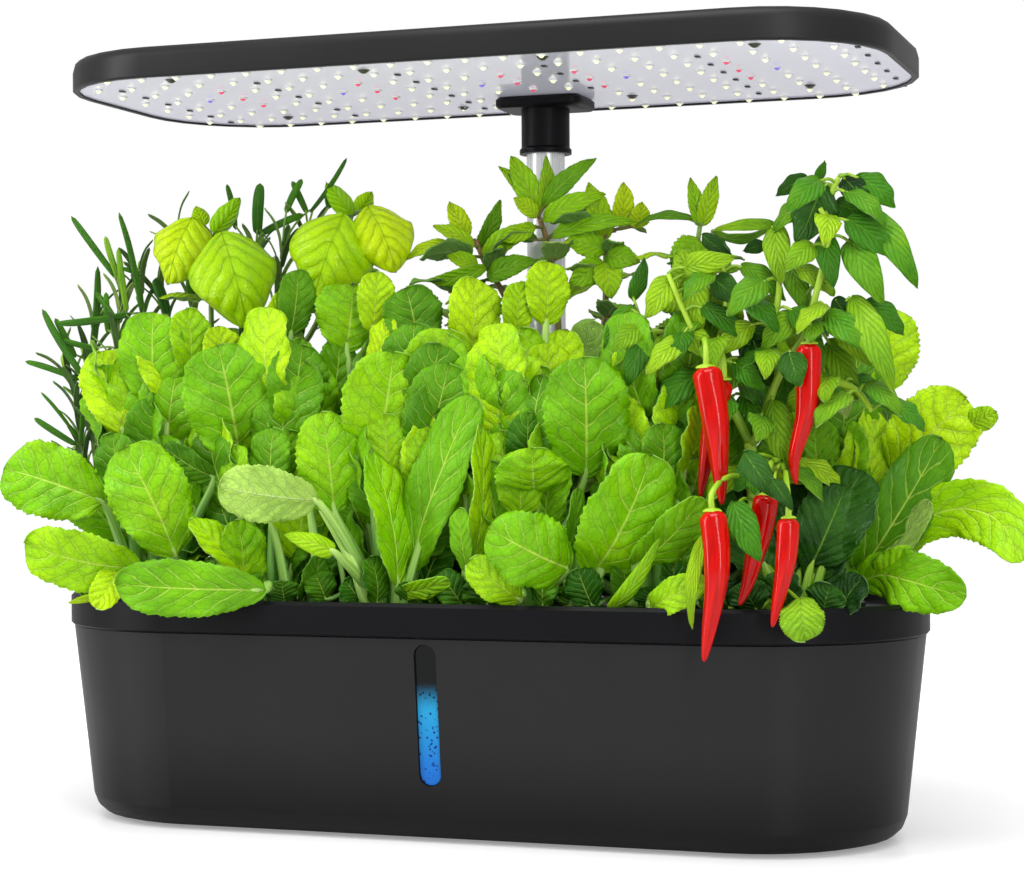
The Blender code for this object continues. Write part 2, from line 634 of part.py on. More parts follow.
def build_basket(number, x, y):
    """A tapered cup with a flange, a drain hole and upright slots for the roots."""
    floor = BASKET_FOOT_LEVEL + BASKET_WALL
    profile = (
        (BASKET_DRAIN_RADIUS, BASKET_FOOT_LEVEL), (BASKET_FOOT_RADIUS, BASKET_FOOT_LEVEL),
        (basket_radius(BASKET_FLANGE_LEVEL), BASKET_FLANGE_LEVEL), (BASKET_FLANGE_RADIUS, BASKET_FLANGE_LEVEL),
        (BASKET_FLANGE_RADIUS, BASKET_TOP), (basket_radius(BASKET_TOP) - BASKET_WALL, BASKET_TOP),
        (basket_radius(floor) - BASKET_WALL, floor), (BASKET_DRAIN_RADIUS, floor))
    basket = turned(f"grow_basket_{number}", profile, basket_plastic, BASKET_STEPS, (x, y, 0))
    slots = []
    slot_middle = BASKET_FOOT_LEVEL + BASKET_SLOT_BOTTOM + BASKET_SLOT_HEIGHT / 2
    half_facet = math.radians(180) / BASKET_STEPS
    for turn in range(BASKET_SLOTS):
        slot = block("basket_slot", (BASKET_FLANGE_RADIUS / 2, 0, slot_middle),
                     (BASKET_FLANGE_RADIUS, BASKET_SLOT_WIDTH, BASKET_SLOT_HEIGHT), None)
        slot.rotation_euler.z = math.radians(360) * turn / BASKET_SLOTS + half_facet
        slot.location = (x, y, 0)
        slots.append(slot)
    cut(basket, *slots)


# Pole
COLLAR_FOOT = DECK_TOP + SEAT_GAP
OUTER_POLE_BOTTOM = COLLAR_FOOT + OUTER_POLE_SEAT + SEAT_GAP


def build_pole():
    """Collar on the deck, outer pole in the collar, bush on its top and the sliding inner pole."""
    seat = COLLAR_FOOT + OUTER_POLE_SEAT
    collar_top = COLLAR_FOOT + COLLAR_HEIGHT
    turned("pole_collar", (
        (CABLE_HOLE_RADIUS, COLLAR_FOOT), (COLLAR_RADIUS, COLLAR_FOOT), (COLLAR_RADIUS, collar_top - COLLAR_WALL / 2),
        (COLLAR_RADIUS - COLLAR_WALL / 2, collar_top), (COLLAR_BORE, collar_top), (COLLAR_BORE, seat),
        (CABLE_HOLE_RADIUS, seat)), rim_black, ROUND_STEPS, POLE_PLACE)
    turned("outer_pole", (
        (OUTER_POLE_BORE, OUTER_POLE_BOTTOM), (OUTER_POLE_RADIUS, OUTER_POLE_BOTTOM),
        (OUTER_POLE_RADIUS, OUTER_POLE_TOP), (OUTER_POLE_BORE, OUTER_POLE_TOP)), pole_aluminium, ROUND_STEPS,
        POLE_PLACE)
    bush_bore = OUTER_POLE_RADIUS + COLLAR_BORE_CLEARANCE
    bush_lip = OUTER_POLE_TOP + SEAT_GAP
    bush_top = bush_lip + BUSH_LIP_THICKNESS
    bush_foot = bush_top - BUSH_HEIGHT
    bush_radius = bush_bore + BUSH_WALL
    turned("pole_bush", (
        (bush_bore, bush_foot), (bush_radius, bush_foot), (bush_radius, bush_top - BUSH_WALL / 2),
        (bush_radius - BUSH_WALL / 2, bush_top), (OUTER_POLE_BORE, bush_top), (OUTER_POLE_BORE, bush_lip),
        (bush_bore, bush_lip)), rim_black, ROUND_STEPS, POLE_PLACE)
    turned("inner_pole", (
        (POLE_RADIUS - POLE_WALL, INNER_POLE_BOTTOM), (POLE_RADIUS, INNER_POLE_BOTTOM), (POLE_RADIUS, INNER_POLE_TOP),
        (POLE_RADIUS - POLE_WALL, INNER_POLE_TOP)), pole_aluminium, ROUND_STEPS, POLE_PLACE)


# Lamp
LAMP_Y = POLE_Y - LAMP_POLE_OFFSET
LAMP_TOP = LAMP_UNDERSIDE + LAMP_HEIGHT
BOARD_UNDERSIDE = LAMP_UNDERSIDE + BOARD_RECESS
BOARD_TOP = BOARD_UNDERSIDE + BOARD_THICKNESS
LEDGE_LEVEL = BOARD_TOP + SEAT_GAP
CAVITY_ROOF = LAMP_TOP - LAMP_WALL
CAVITY_INSET = LAMP_LIP_WIDTH + LAMP_LEDGE_WIDTH
MOUNT_TOP = BOARD_UNDERSIDE - SEAT_GAP
MOUNT_BOTTOM = MOUNT_TOP - MOUNT_THICKNESS
SOCKET_BORE = POLE_RADIUS + SOCKET_FIT
SOCKET_RADIUS = SOCKET_BORE + SOCKET_WALL
SOCKET_FOOT = MOUNT_BOTTOM - SOCKET_LENGTH
INNER_POLE_TOP = MOUNT_TOP - SOCKET_ROOF - SEAT_GAP
JACK_BACK = LAMP_Y + LAMP_DEPTH / 2
BUTTON_Y = JACK_BACK - BUTTON_EDGE_DISTANCE
BUTTON_PLACES = [POLE_X - BUTTON_SPACING / 2, POLE_X + BUTTON_SPACING / 2]
BUTTON_TOP = LAMP_TOP + BUTTON_STAND
BUTTON_FLANGE_TOP = CAVITY_ROOF - SEAT_GAP
BUTTON_FOOT = BUTTON_FLANGE_TOP - BUTTON_FLANGE_THICKNESS - BUTTON_STEM_LENGTH
SWITCH_TOP = BUTTON_FOOT - BUTTON_TRAVEL - SEAT_GAP
JACK_Z = LAMP_UNDERSIDE + JACK_LEVEL
DRIVER_Y = BUTTON_Y - DRIVER_BUTTON_SPACING
LAMP_VENT_Y = BUTTON_Y - LAMP_VENT_BUTTON_SPACING


def lamp_outline(inset, level):
    ring = outline(LAMP_LENGTH, LAMP_DEPTH, LAMP_CORNER, inset, level, 2 * LAMP_CORNER_STEPS)
    return [point + Vector((LAMP_X, LAMP_Y, 0)) for point in ring]


def build_lamp_shell():
    """A shallow tray, open below, with a rounded top edge and a ledge that the board lies against."""
    section = [(LAMP_LIP_WIDTH, LEDGE_LEVEL), (LAMP_LIP_WIDTH, LAMP_UNDERSIDE), (LAMP_LIP_ROUNDING, LAMP_UNDERSIDE),
               (0, LAMP_UNDERSIDE + LAMP_LIP_ROUNDING)]
    for step in range(LAMP_ROUNDING_STEPS + 1):
        angle = math.radians(90) * step / LAMP_ROUNDING_STEPS
        section.append((LAMP_TOP_ROUNDING * (1 - math.cos(angle)),
                        LAMP_TOP - LAMP_TOP_ROUNDING * (1 - math.sin(angle))))
    section = [(CAVITY_INSET, CAVITY_ROOF), (CAVITY_INSET, LEDGE_LEVEL)] + section
    shell = lofted("lamp_shell", [lamp_outline(inset, level) for inset, level in section], satin_charcoal)
    tools = [disc("button_drill", BUTTON_RADIUS + BUTTON_CLEARANCE, CAVITY_ROOF - OVERRUN, LAMP_TOP + OVERRUN, None,
                  SMALL_ROUND_STEPS, (x, BUTTON_Y, 0)) for x in BUTTON_PLACES]
    for vent in range(LAMP_VENT_COUNT):
        x = LAMP_VENT_X + (vent - (LAMP_VENT_COUNT - 1) / 2) * LAMP_VENT_PITCH
        tools.append(block("vent_slot", (x, LAMP_VENT_Y, LAMP_TOP), (LAMP_VENT_WIDTH, LAMP_VENT_LENGTH,
                     2 * LAMP_WALL + OVERRUN), None))
    tools.append(jack_solid("jack_hole", JACK_BARREL_RADIUS + BUTTON_CLEARANCE, -OVERRUN, CAVITY_INSET + OVERRUN))
    cut(shell, *tools)


def jack_solid(name, radius, start, end, finish=None):
    """A round solid that runs forwards into the lamp from its rear wall."""
    made = disc(name, radius, start, end, finish, SMALL_ROUND_STEPS)
    forwards = Matrix.Translation((JACK_X, JACK_BACK, JACK_Z)) @ Matrix.Rotation(math.radians(90), 4, "X")
    return bake_place(made, forwards)


def build_board():
    inset = LAMP_LIP_WIDTH + SEAT_GAP
    lofted("led_board", [lamp_outline(inset, level) for level in (BOARD_UNDERSIDE, BOARD_TOP)], board_white)


def build_mount():
    """A flat block under the board that carries the lamp, with the socket for the inner pole."""
    mount = block("lamp_mount", (0, 0, (MOUNT_TOP + MOUNT_BOTTOM) / 2), (MOUNT_LENGTH, MOUNT_DEPTH, MOUNT_THICKNESS),
                  rim_black, MOUNT_CORNER, MOUNT_EDGE_ROUNDING)
    middle = (MOUNT_TOP + MOUNT_BOTTOM) / 2
    lip = SOCKET_RADIUS + SOCKET_LIP
    lip_top = SOCKET_FOOT + SOCKET_LIP_HEIGHT
    socket = turned("socket", (
        (0, SOCKET_FOOT), (lip, SOCKET_FOOT), (lip, lip_top), (SOCKET_RADIUS, lip_top + SOCKET_LIP),
        (SOCKET_RADIUS, middle), (0, middle)), rim_black)
    unite(mount, socket)
    cut(mount, disc("pole_bore", SOCKET_BORE, SOCKET_FOOT - OVERRUN, MOUNT_TOP - SOCKET_ROOF, None))
    cut(mount, disc("cable_bore", CABLE_HOLE_RADIUS, SOCKET_FOOT - OVERRUN, MOUNT_TOP + OVERRUN, None,
                    SMALL_ROUND_STEPS))
    mount.location = POLE_PLACE


def build_lamp_inside():
    """Driver, control board with its two switches, the two buttons and the power jack."""
    floor = BOARD_TOP + SEAT_GAP
    block("lamp_driver", (LAMP_X + DRIVER_X, DRIVER_Y, floor + DRIVER_HEIGHT / 2),
          (DRIVER_LENGTH, DRIVER_DEPTH, DRIVER_HEIGHT), circuit_green, CONTROL_POST_WIDTH)
    switch_height = CONTROL_THICKNESS
    plate_top = SWITCH_TOP - switch_height
    plate_low = plate_top - CONTROL_THICKNESS
    board = block("control_board", (POLE_X, BUTTON_Y, (plate_top + plate_low) / 2),
                  (CONTROL_LENGTH, CONTROL_DEPTH, CONTROL_THICKNESS), circuit_green)
    parts = [block("switch", (x, BUTTON_Y, (plate_low + SWITCH_TOP) / 2),
                   (SWITCH_WIDTH, SWITCH_WIDTH, SWITCH_TOP - plate_low), circuit_green) for x in BUTTON_PLACES]
    for side in (-1, 1):
        x = POLE_X + side * (CONTROL_LENGTH - CONTROL_POST_WIDTH) / 2
        post_top = (plate_low + plate_top) / 2
        parts.append(block("post", (x, BUTTON_Y, (floor + post_top) / 2),
                           (CONTROL_POST_WIDTH, CONTROL_POST_WIDTH, post_top - floor), circuit_green))
    unite(board, *parts)
    flange = BUTTON_RADIUS + BUTTON_FLANGE_WIDTH
    flange_foot = BUTTON_FLANGE_TOP - BUTTON_FLANGE_THICKNESS
    for name, x in zip(("light_button", "pump_button"), BUTTON_PLACES):
        turned(name, (
            (0, BUTTON_FOOT), (BUTTON_RADIUS / 2, BUTTON_FOOT), (BUTTON_RADIUS / 2, flange_foot),
            (flange, flange_foot), (flange, BUTTON_FLANGE_TOP), (BUTTON_RADIUS, BUTTON_FLANGE_TOP),
            (BUTTON_RADIUS, BUTTON_TOP - BUTTON_STAND / 2), (BUTTON_RADIUS - BUTTON_STAND / 2, BUTTON_TOP),
            (0, BUTTON_TOP)), rim_black, SMALL_ROUND_STEPS, (x, BUTTON_Y, 0))
    build_jack(floor)


def build_jack(floor):
    """The power inlet: a barrel through the rear wall, with its centre pin, on a body on the board."""
    seat = CAVITY_INSET + SEAT_GAP
    jack_low = floor + JACK_STAND_HEIGHT
    jack_high = JACK_Z + JACK_BARREL_RADIUS
    jack = block("power_jack", (JACK_X, JACK_BACK - (seat + JACK_LENGTH) / 2 - seat / 2, (jack_low + jack_high) / 2),
                 (JACK_WIDTH, JACK_LENGTH, jack_high - jack_low), pump_black)
    stand = block("jack_stand", (JACK_X, JACK_BACK - seat - JACK_LENGTH / 2, (floor + JACK_Z) / 2),
                  (JACK_WIDTH / 2, JACK_LENGTH / 2, JACK_Z - floor), pump_black)
    unite(jack, jack_solid("jack_barrel", JACK_BARREL_RADIUS, LAMP_LIP_ROUNDING, seat + JACK_LENGTH / 2), stand)
    cut(jack, jack_solid("jack_bore", JACK_BORE_RADIUS, -OVERRUN, JACK_BORE_DEPTH))
    pin_start = JACK_BORE_DEPTH - JACK_PIN_LENGTH
    unite(jack, jack_solid("jack_pin", JACK_PIN_RADIUS, pin_start, JACK_BORE_DEPTH + JACK_PIN_RADIUS, pump_black))


# Pump
PUMP_FLOOR = TANK_FLOOR_LEVEL + SEAT_GAP
PUMP_TOP = PUMP_FLOOR + PUMP_HEIGHT
PUMP_FRONT = PUMP_Y - PUMP_DEPTH / 2
PUMP_AXIS_LEVEL = PUMP_FLOOR + PUMP_HEIGHT / 2


def facing_front(made, y):
    """Turns an upright piece to face the front, with its local zero at the given y on the pump's axis."""
    turn = Matrix.Translation((PUMP_X, y, PUMP_AXIS_LEVEL)) @ Matrix.Rotation(math.radians(90), 4, "X")
    return bake_place(made, turn)


def build_pump():
    pump = block("pump_body", (PUMP_X, PUMP_Y, (PUMP_FLOOR + PUMP_TOP) / 2), (PUMP_LENGTH, PUMP_DEPTH, PUMP_HEIGHT),
                 pump_black, PUMP_ROUNDING)
    outlet = disc("pump_outlet", PUMP_OUTLET_RADIUS, PUMP_TOP - OVERRUN, PUMP_TOP + PUMP_OUTLET_HEIGHT, pump_black,
                  SMALL_ROUND_STEPS, (PUMP_X + PUMP_OUTLET_RUN, PUMP_Y, 0))
    unite(pump, outlet)
    chamber = facing_front(disc("pump_chamber", PUMP_CHAMBER_RADIUS, -PUMP_CHAMBER_DEPTH, OVERRUN, None), PUMP_FRONT)
    bore = disc("outlet_bore", PUMP_OUTLET_BORE, PUMP_TOP - OVERRUN, PUMP_TOP + PUMP_OUTLET_HEIGHT + OVERRUN, None,
                SMALL_ROUND_STEPS, (PUMP_X + PUMP_OUTLET_RUN, PUMP_Y, 0))
    cut(pump, chamber, bore)
    build_impeller()
    cover = disc("pump_cover", PUMP_COVER_RADIUS, SEAT_GAP, SEAT_GAP + PUMP_COVER_THICKNESS, pump_black)
    slots = []
    for slot in range(PUMP_COVER_SLOTS):
        x = (slot - (PUMP_COVER_SLOTS - 1) / 2) * PUMP_COVER_SLOT_PITCH
        reach = PUMP_COVER_SLOT_LENGTH * math.sqrt(1 - (x / PUMP_COVER_RADIUS) ** 2)
        slots.append(block("cover_slot", (x, 0, 0), (PUMP_COVER_SLOT_WIDTH, reach, 2 * OVERRUN), None))
    cut(cover, *slots)
    facing_front(cover, PUMP_FRONT)


def build_impeller():
    """A hub with flat radial blades, turning on the chamber's axis."""
    low = -PUMP_CHAMBER_DEPTH + SEAT_GAP
    impeller = disc("impeller", IMPELLER_HUB_RADIUS, low, low + IMPELLER_HEIGHT, impeller_white, SMALL_ROUND_STEPS)
    blades = []
    for number in range(IMPELLER_BLADES // 2):
        blade = block("impeller_blade", (0, 0, low + IMPELLER_HEIGHT / 2),
                      (2 * IMPELLER_RADIUS, IMPELLER_BLADE_THICKNESS, IMPELLER_HEIGHT * IMPELLER_BLADE_SHARE), impeller_white)
        blades.append(bake_place(blade, Matrix.Rotation(math.radians(360) * number / IMPELLER_BLADES, 4, "Z")))
    unite(impeller, *blades)
    facing_front(impeller, PUMP_FRONT)


# Plants
PLUG_FOOT = BASKET_FOOT_LEVEL + BASKET_WALL + SEAT_GAP
PLUG_TOP = BASKET_TOP + PLUG_STAND
CELL_HALF = POD_PITCH / 2 - CELL_SIDE_GAP
CELL_ROW_HALF = (POD_REAR_ROW - POD_FRONT_ROW) / 2 - CELL_ROW_GAP
POLE_CELL_BACK = POD_POLE_SPACING - COLLAR_RADIUS - POLE_CELL_GAP
RIM_FACE_DISTANCE = RIM_DEPTH / 2 + POD_FRONT_ROW


class Cell:
    """The column of space above a pod that its plant may fill; a side with None is open."""

    def __init__(self, place, left=CELL_HALF, right=CELL_HALF, front=CELL_ROW_HALF, back=CELL_ROW_HALF):
        self.place = place
        self.sides = ((left, right), (front, back))

    def crowd(self, point, margin):
        """Draws a point softly towards the pod, so that it stays short of a closed side by the margin."""
        return self.reach(Vector((*self.place, point.z)), point, margin)

    def reach(self, start, end, margin):
        """The way from a start to an end, with the end held softly short of a closed side by the margin."""
        held = end.copy()
        for axis, (low, high) in enumerate(self.sides):
            run = end[axis] - start[axis]
            side = high if run > 0 else low
            if side:
                along = (start[axis] - self.place[axis]) * math.copysign(1, run)
                room = side - margin - along
                held[axis] = start[axis] + math.copysign(room * (1 - math.exp(-abs(run) / room)), run)
        return held

    def leaf_length(self, foot, turn, length):
        """A leaf's length, shorter where its foot is near a closed side that it grows towards."""
        heading = math.radians(turn)
        for axis, run in enumerate((math.cos(heading), math.sin(heading))):
            low, high = self.sides[axis]
            side = high if run > 0 else low
            if side:
                along = (foot[axis] - self.place[axis]) * math.copysign(1, run)
                room = max(side - along, side * LEAST_ROOM_SHARE)
                length = min(length, room * LEAF_REACH_SHARE / max(abs(run), LEAST_ROOM_SHARE))
        return length


def bow_point(start, turn, rises, length, share):
    """A point along an arc that leaves the start in one compass direction and changes its rise evenly."""
    rise_from, rise_to = (math.radians(rise) for rise in rises)
    bend = rise_to - rise_from
    if abs(bend) < MERGE_DISTANCE:
        out, up = math.cos(rise_from) * share, math.sin(rise_from) * share
    else:
        now = rise_from + bend * share
        out = (math.sin(now) - math.sin(rise_from)) / bend
        up = (math.cos(rise_from) - math.cos(now)) / bend
    heading = math.radians(turn)
    return start + length * Vector((math.cos(heading) * out, math.sin(heading) * out, up))


def beside(point, turn, distance):
    """The point moved level in a compass direction, so that limbs which share a foot don't share corners."""
    heading = math.radians(turn)
    return point + distance * Vector((math.cos(heading), math.sin(heading), 0))


def limb(start, turn, rises, length, stations, width, thickness, cell, sides=4, name="limb", finish=None):
    """A leaf, stem or fruit: sections of the given stations swept along one arc."""
    heading = math.radians(turn)
    level_across = Vector((-math.sin(heading), math.cos(heading), 0))
    centres = [cell.crowd(bow_point(start, turn, rises, length, place), thickness + width / 6)
               for place, _, _ in stations]
    rings = []
    for index, (_, width_share, thickness_share) in enumerate(stations):
        centre = centres[index]
        onward = (centres[min(index + 1, len(centres) - 1)] - centres[max(index - 1, 0)]).normalized()
        across = (level_across - level_across.dot(onward) * onward).normalized()
        above = onward.cross(across)
        ring = []
        for side in range(sides):
            angle = math.radians(360) * side / sides
            sideways = across * (math.cos(angle) * width * width_share / 2)
            upwards = above * (math.sin(angle) * thickness * thickness_share / 2)
            ring.append(cell.reach(centre, centre + sideways, thickness) + upwards)
        rings.append(ring)
    return lofted(name, rings, finish, flat_sides=False)


def rooted_plug(name, place, finish, stalk_height):
    """The grow sponge full of roots that sits in the basket, with the foot of the plant on it."""
    foot = basket_radius(PLUG_FOOT) - BASKET_WALL - SEAT_GAP
    shoulder = basket_radius(PLUG_TOP) - BASKET_WALL - SEAT_GAP
    top = PLUG_TOP + stalk_height
    profile = ((0, PLUG_FOOT), (foot, PLUG_FOOT), (shoulder, PLUG_TOP), (STALK_RADIUS, PLUG_TOP),
               (STALK_TOP_RADIUS, top), (0, top))
    plug = turned(name, profile, finish, BASKET_STEPS)
    return bake_place(plug, Matrix.Translation((*place, 0)))


def greens(name, place, length, turn, cell):
    """A rosette from one foot: spoon-shaped outer leaves that lean out, and upright ones within them."""
    plant = rooted_plug(name, place, leaf_green, STALK_HEIGHT)
    leaves = []
    for leaf_shares in GREENS_OUTER_LEAF_SHARES + GREENS_INNER_LEAF_SHARES:
        heading, rise_from, rise_to, length_share, width_share, start_share = leaf_shares
        start = beside(Vector((*place, PLUG_TOP + STALK_HEIGHT * start_share)), heading + turn,
                       STALK_TOP_RADIUS * LEAF_FOOT_SHARE)
        leaves.append(limb(start, heading + turn, (rise_from, rise_to), length * length_share, SPOON_LEAF_SHARES,
                           GREENS_WIDTH * width_share, LEAF_THICKNESS, cell))
    unite(plant, *leaves)


def herb(name, place, cell, stems, leaf_size, leaf_stations):
    """Upright stems with crossed pairs of leaves, closest together at the tips."""
    plant = rooted_plug(name, place, herb_green, HERB_STALK_HEIGHT)
    limbs = []
    for heading, rise_from, rise_to, length_share in stems:
        start = beside(Vector((*place, PLUG_TOP + HERB_STALK_HEIGHT / 2)), heading, HERB_STEM_WIDTH / 2)
        rises = (rise_from, rise_to)
        length = HERB_HEIGHT * length_share
        limbs.append(limb(start, heading, rises, length, STEM_SHARES, HERB_STEM_WIDTH, HERB_STEM_WIDTH, cell, 5))
        for number, along in enumerate(HERB_PAIR_SHARES):
            foot = bow_point(start, heading, rises, length, along * (1 - HERB_STEM_WIDTH / length))
            for side in (0, 180):
                turn = heading + 90 * number + side
                leaf_foot = beside(foot, turn, HERB_STEM_WIDTH / 8)
                leaf_length = cell.leaf_length(foot, turn, leaf_size[0])
                leaf_rises = (HERB_LEAF_RISE + HERB_TIP_LEAF_RISE * along, 0)
                limbs.append(limb(leaf_foot, turn, leaf_rises, leaf_length, leaf_stations, leaf_size[1],
                                  SMALL_LEAF_THICKNESS, cell))
    unite(plant, *limbs)


def basil(name, place, cell):
    """Two stems, each with a crown of broad leaves that dome over."""
    plant = rooted_plug(name, place, herb_green, HERB_STALK_HEIGHT)
    limbs = []
    for heading, rise_from, rise_to, length_share in BASIL_STEM_SHARES:
        start = beside(Vector((*place, PLUG_TOP + HERB_STALK_HEIGHT / 2)), heading, HERB_STEM_WIDTH / 2)
        rises = (rise_from, rise_to)
        length = HERB_HEIGHT * length_share
        limbs.append(limb(start, heading, rises, length, STEM_SHARES, HERB_STEM_WIDTH, HERB_STEM_WIDTH, cell, 5))
        foot = bow_point(start, heading, rises, length, 1 - HERB_STEM_WIDTH / length)
        for leaf in range(BASIL_CROWN_LEAVES):
            turn = heading + 360 * leaf / BASIL_CROWN_LEAVES
            leaf_length = cell.leaf_length(foot, turn, BASIL_LEAF_LENGTH)
            limbs.append(limb(beside(foot, turn, HERB_STEM_WIDTH / 8), turn, BASIL_LEAF_RISES, leaf_length,
                              ROUND_LEAF_SHARES, BASIL_LEAF_WIDTH, SMALL_LEAF_THICKNESS, cell))
    unite(plant, *limbs)


def rosemary(name, place, cell):
    """Sprigs that fan out and back, each a slender spindle with long needles standing off it."""
    plant = rooted_plug(name, place, herb_green, HERB_STALK_HEIGHT)
    limbs = []
    for heading, rise_from, rise_to, length_share, start_share in ROSEMARY_SPRIG_SHARES:
        start = beside(Vector((*place, PLUG_TOP + HERB_STALK_HEIGHT * start_share / 2)), heading,
                       STALK_TOP_RADIUS / 3)
        rises = (rise_from, rise_to)
        length = ROSEMARY_LENGTH * length_share
        limbs.append(limb(start, heading, rises, length, SPRIG_SHARES, ROSEMARY_SPRIG_WIDTH, ROSEMARY_SPRIG_WIDTH,
                          cell, 5))
        for number, along in enumerate(NEEDLE_PLACE_SHARES):
            foot = cell.crowd(bow_point(start, heading, rises, length, along), ROSEMARY_SPRIG_WIDTH)
            turn = heading + NEEDLE_TURN * (number % 2 * 2 - 1)
            limbs.append(limb(foot, turn, (NEEDLE_RISE, NEEDLE_RISE), NEEDLE_LENGTH, NEEDLE_SHARES, NEEDLE_WIDTH,
                              NEEDLE_WIDTH, cell, 3))
    unite(plant, *limbs)


def straight_limb(start, end, width, cell):
    """A plain tapering stalk between two points."""
    run = end - start
    heading = math.degrees(math.atan2(run.y, run.x))
    rise = math.degrees(math.asin(run.z / run.length))
    return limb(start, heading, (rise, rise), run.length, STEM_SHARES, width, width, cell, 5)


def hang_fruit(number, place, root, shares):
    """One fruit under its green cap; returns the cap and the stalk that joins it to the stem."""
    across, ahead, top_share, length_share, width_share, turn, lean = shares
    free = Cell(place, None, None, None, None)
    top = Vector((place[0] + across * CELL_HALF, place[1] - ahead * RIM_FACE_DISTANCE,
                  DECK_TOP + CHILI_STEM_HEIGHT * top_share))
    rise = lean - 90 - CHILI_FRUIT_BOW
    limb(top, turn, (rise, rise + 2 * CHILI_FRUIT_BOW), CHILI_FRUIT_LENGTH * length_share, FRUIT_SHARES,
         CHILI_FRUIT_WIDTH * width_share, CHILI_FRUIT_WIDTH * width_share, free, 8, f"chili_fruit_{number}", chili_red)
    cap_top = bow_point(top, turn, (rise, rise), -(SEAT_GAP + CHILI_CALYX_HEIGHT), 1)
    cap = limb(cap_top, turn, (rise, rise), CHILI_CALYX_HEIGHT, CALYX_SHARES, CHILI_CALYX_WIDTH, CHILI_CALYX_WIDTH,
               free, 5)
    hold = bow_point(root, CHILI_STEM_HEADING, CHILI_STEM_RISES, CHILI_STEM_HEIGHT,
                     min(top_share * CHILI_HOLD_SHARE, CHILI_HIGHEST_HOLD_SHARE))
    stalk_end = cap_top - Vector((0, 0, CHILI_CALYX_HEIGHT / 3))
    return [cap, straight_limb(hold, stalk_end, CHILI_BRANCH_WIDTH, free)]


def chili(name, place, cell):
    """A branched stem with pointed leaves, and fruits that hang from their own capped stalks."""
    plant = rooted_plug(name, place, herb_green, HERB_STALK_HEIGHT)
    root = Vector((*place, PLUG_TOP + HERB_STALK_HEIGHT / 2))
    limbs = [limb(root, CHILI_STEM_HEADING, CHILI_STEM_RISES, CHILI_STEM_HEIGHT, STEM_SHARES, CHILI_STEM_WIDTH,
                  CHILI_STEM_WIDTH, cell, 6)]
    fork = bow_point(root, CHILI_STEM_HEADING, CHILI_STEM_RISES, CHILI_STEM_HEIGHT,
                     1 - CHILI_STEM_WIDTH / CHILI_STEM_HEIGHT)
    for heading, rise_from, rise_to, length_share in CHILI_BRANCH_SHARES:
        rises = (rise_from, rise_to)
        length = CHILI_BRANCH_LENGTH * length_share
        limbs.append(limb(beside(fork, heading, CHILI_BRANCH_WIDTH / 4), heading, rises, length, STEM_SHARES,
                          CHILI_BRANCH_WIDTH, CHILI_BRANCH_WIDTH, cell, 5))
        tip = bow_point(fork, heading, rises, length, 1 - CHILI_BRANCH_WIDTH / length)
        for leaf_turn in CHILI_LEAF_HEADINGS:
            turn = heading + leaf_turn
            leaf_length = cell.leaf_length(tip, turn, CHILI_LEAF_LENGTH)
            limbs.append(limb(beside(tip, turn, CHILI_BRANCH_WIDTH / 8), turn, CHILI_LEAF_RISES, leaf_length,
                              LANCE_LEAF_SHARES, CHILI_LEAF_WIDTH, SMALL_LEAF_THICKNESS, cell))
    for number, shares in enumerate(CHILI_FRUIT_SHARES, 1):
        limbs += hang_fruit(number, place, root, shares)
    unite(plant, *limbs)


def build_front_row():
    """Five rosettes, the outer one open to the left, and the chili open to the right, which takes more room."""
    places = pod_places()[:POD_COLUMNS]
    heads = list(zip(places[:-1], GREENS_LENGTH_SHARES, GREENS_TURNS))
    for number, (place, length_share, turn) in enumerate(heads, 1):
        left = None if number == 1 else CELL_HALF
        right = CELL_HALF - CHILI_CELL_SHIFT if number == len(heads) else CELL_HALF
        greens(f"greens_plant_{number}", place, GREENS_LENGTH * length_share, turn, Cell(place, left, right, None))
    chili("chili_plant", places[-1], Cell(places[-1], CELL_HALF + CHILI_CELL_SHIFT, None, None))


def build_rear_row():
    places = pod_places()[POD_COLUMNS:]
    rosemary("rosemary_plant", places[0], Cell(places[0], left=None, back=None))
    basil("basil_plant", places[1], Cell(places[1], back=CAP_CELL_BACK))
    for side, place in zip(("left", "right"), places[2:4]):
        herb(f"mint_plant_{side}", place, Cell(place, back=POLE_CELL_BACK), MINT_STEM_SHARES,
             (MINT_LEAF_LENGTH, MINT_LEAF_WIDTH), LANCE_LEAF_SHARES)
    herb("balm_plant", places[4], Cell(places[4]), BALM_STEM_SHARES,
         (BALM_LEAF_LENGTH, BALM_LEAF_WIDTH), ROUND_LEAF_SHARES)
    greens("greens_plant_6", places[5], GREENS_LENGTH * GREENS_LENGTH_SHARES[-1], GREENS_TURNS[-1],
           Cell(places[5], right=None, back=None))


def build_plants():
    build_front_row()
    build_rear_row()


def clear_scene():
    for old in list(bpy.data.objects):
        bpy.data.objects.remove(old)


def build_garden():
    clear_scene()
    build_tank()
    build_feet()
    build_window()
    build_deck()
    build_fill_cap()
    for number, (x, y) in enumerate(pod_places(), 1):
        build_basket(number, x, y)
    build_pole()
    build_lamp_shell()
    build_board()
    build_mount()
    build_lamp_inside()
    build_pump()
    build_plants()


build_garden()
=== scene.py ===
import json
import math
import random
from collections import namedtuple

import bmesh
import bpy
from mathutils import Matrix, Vector

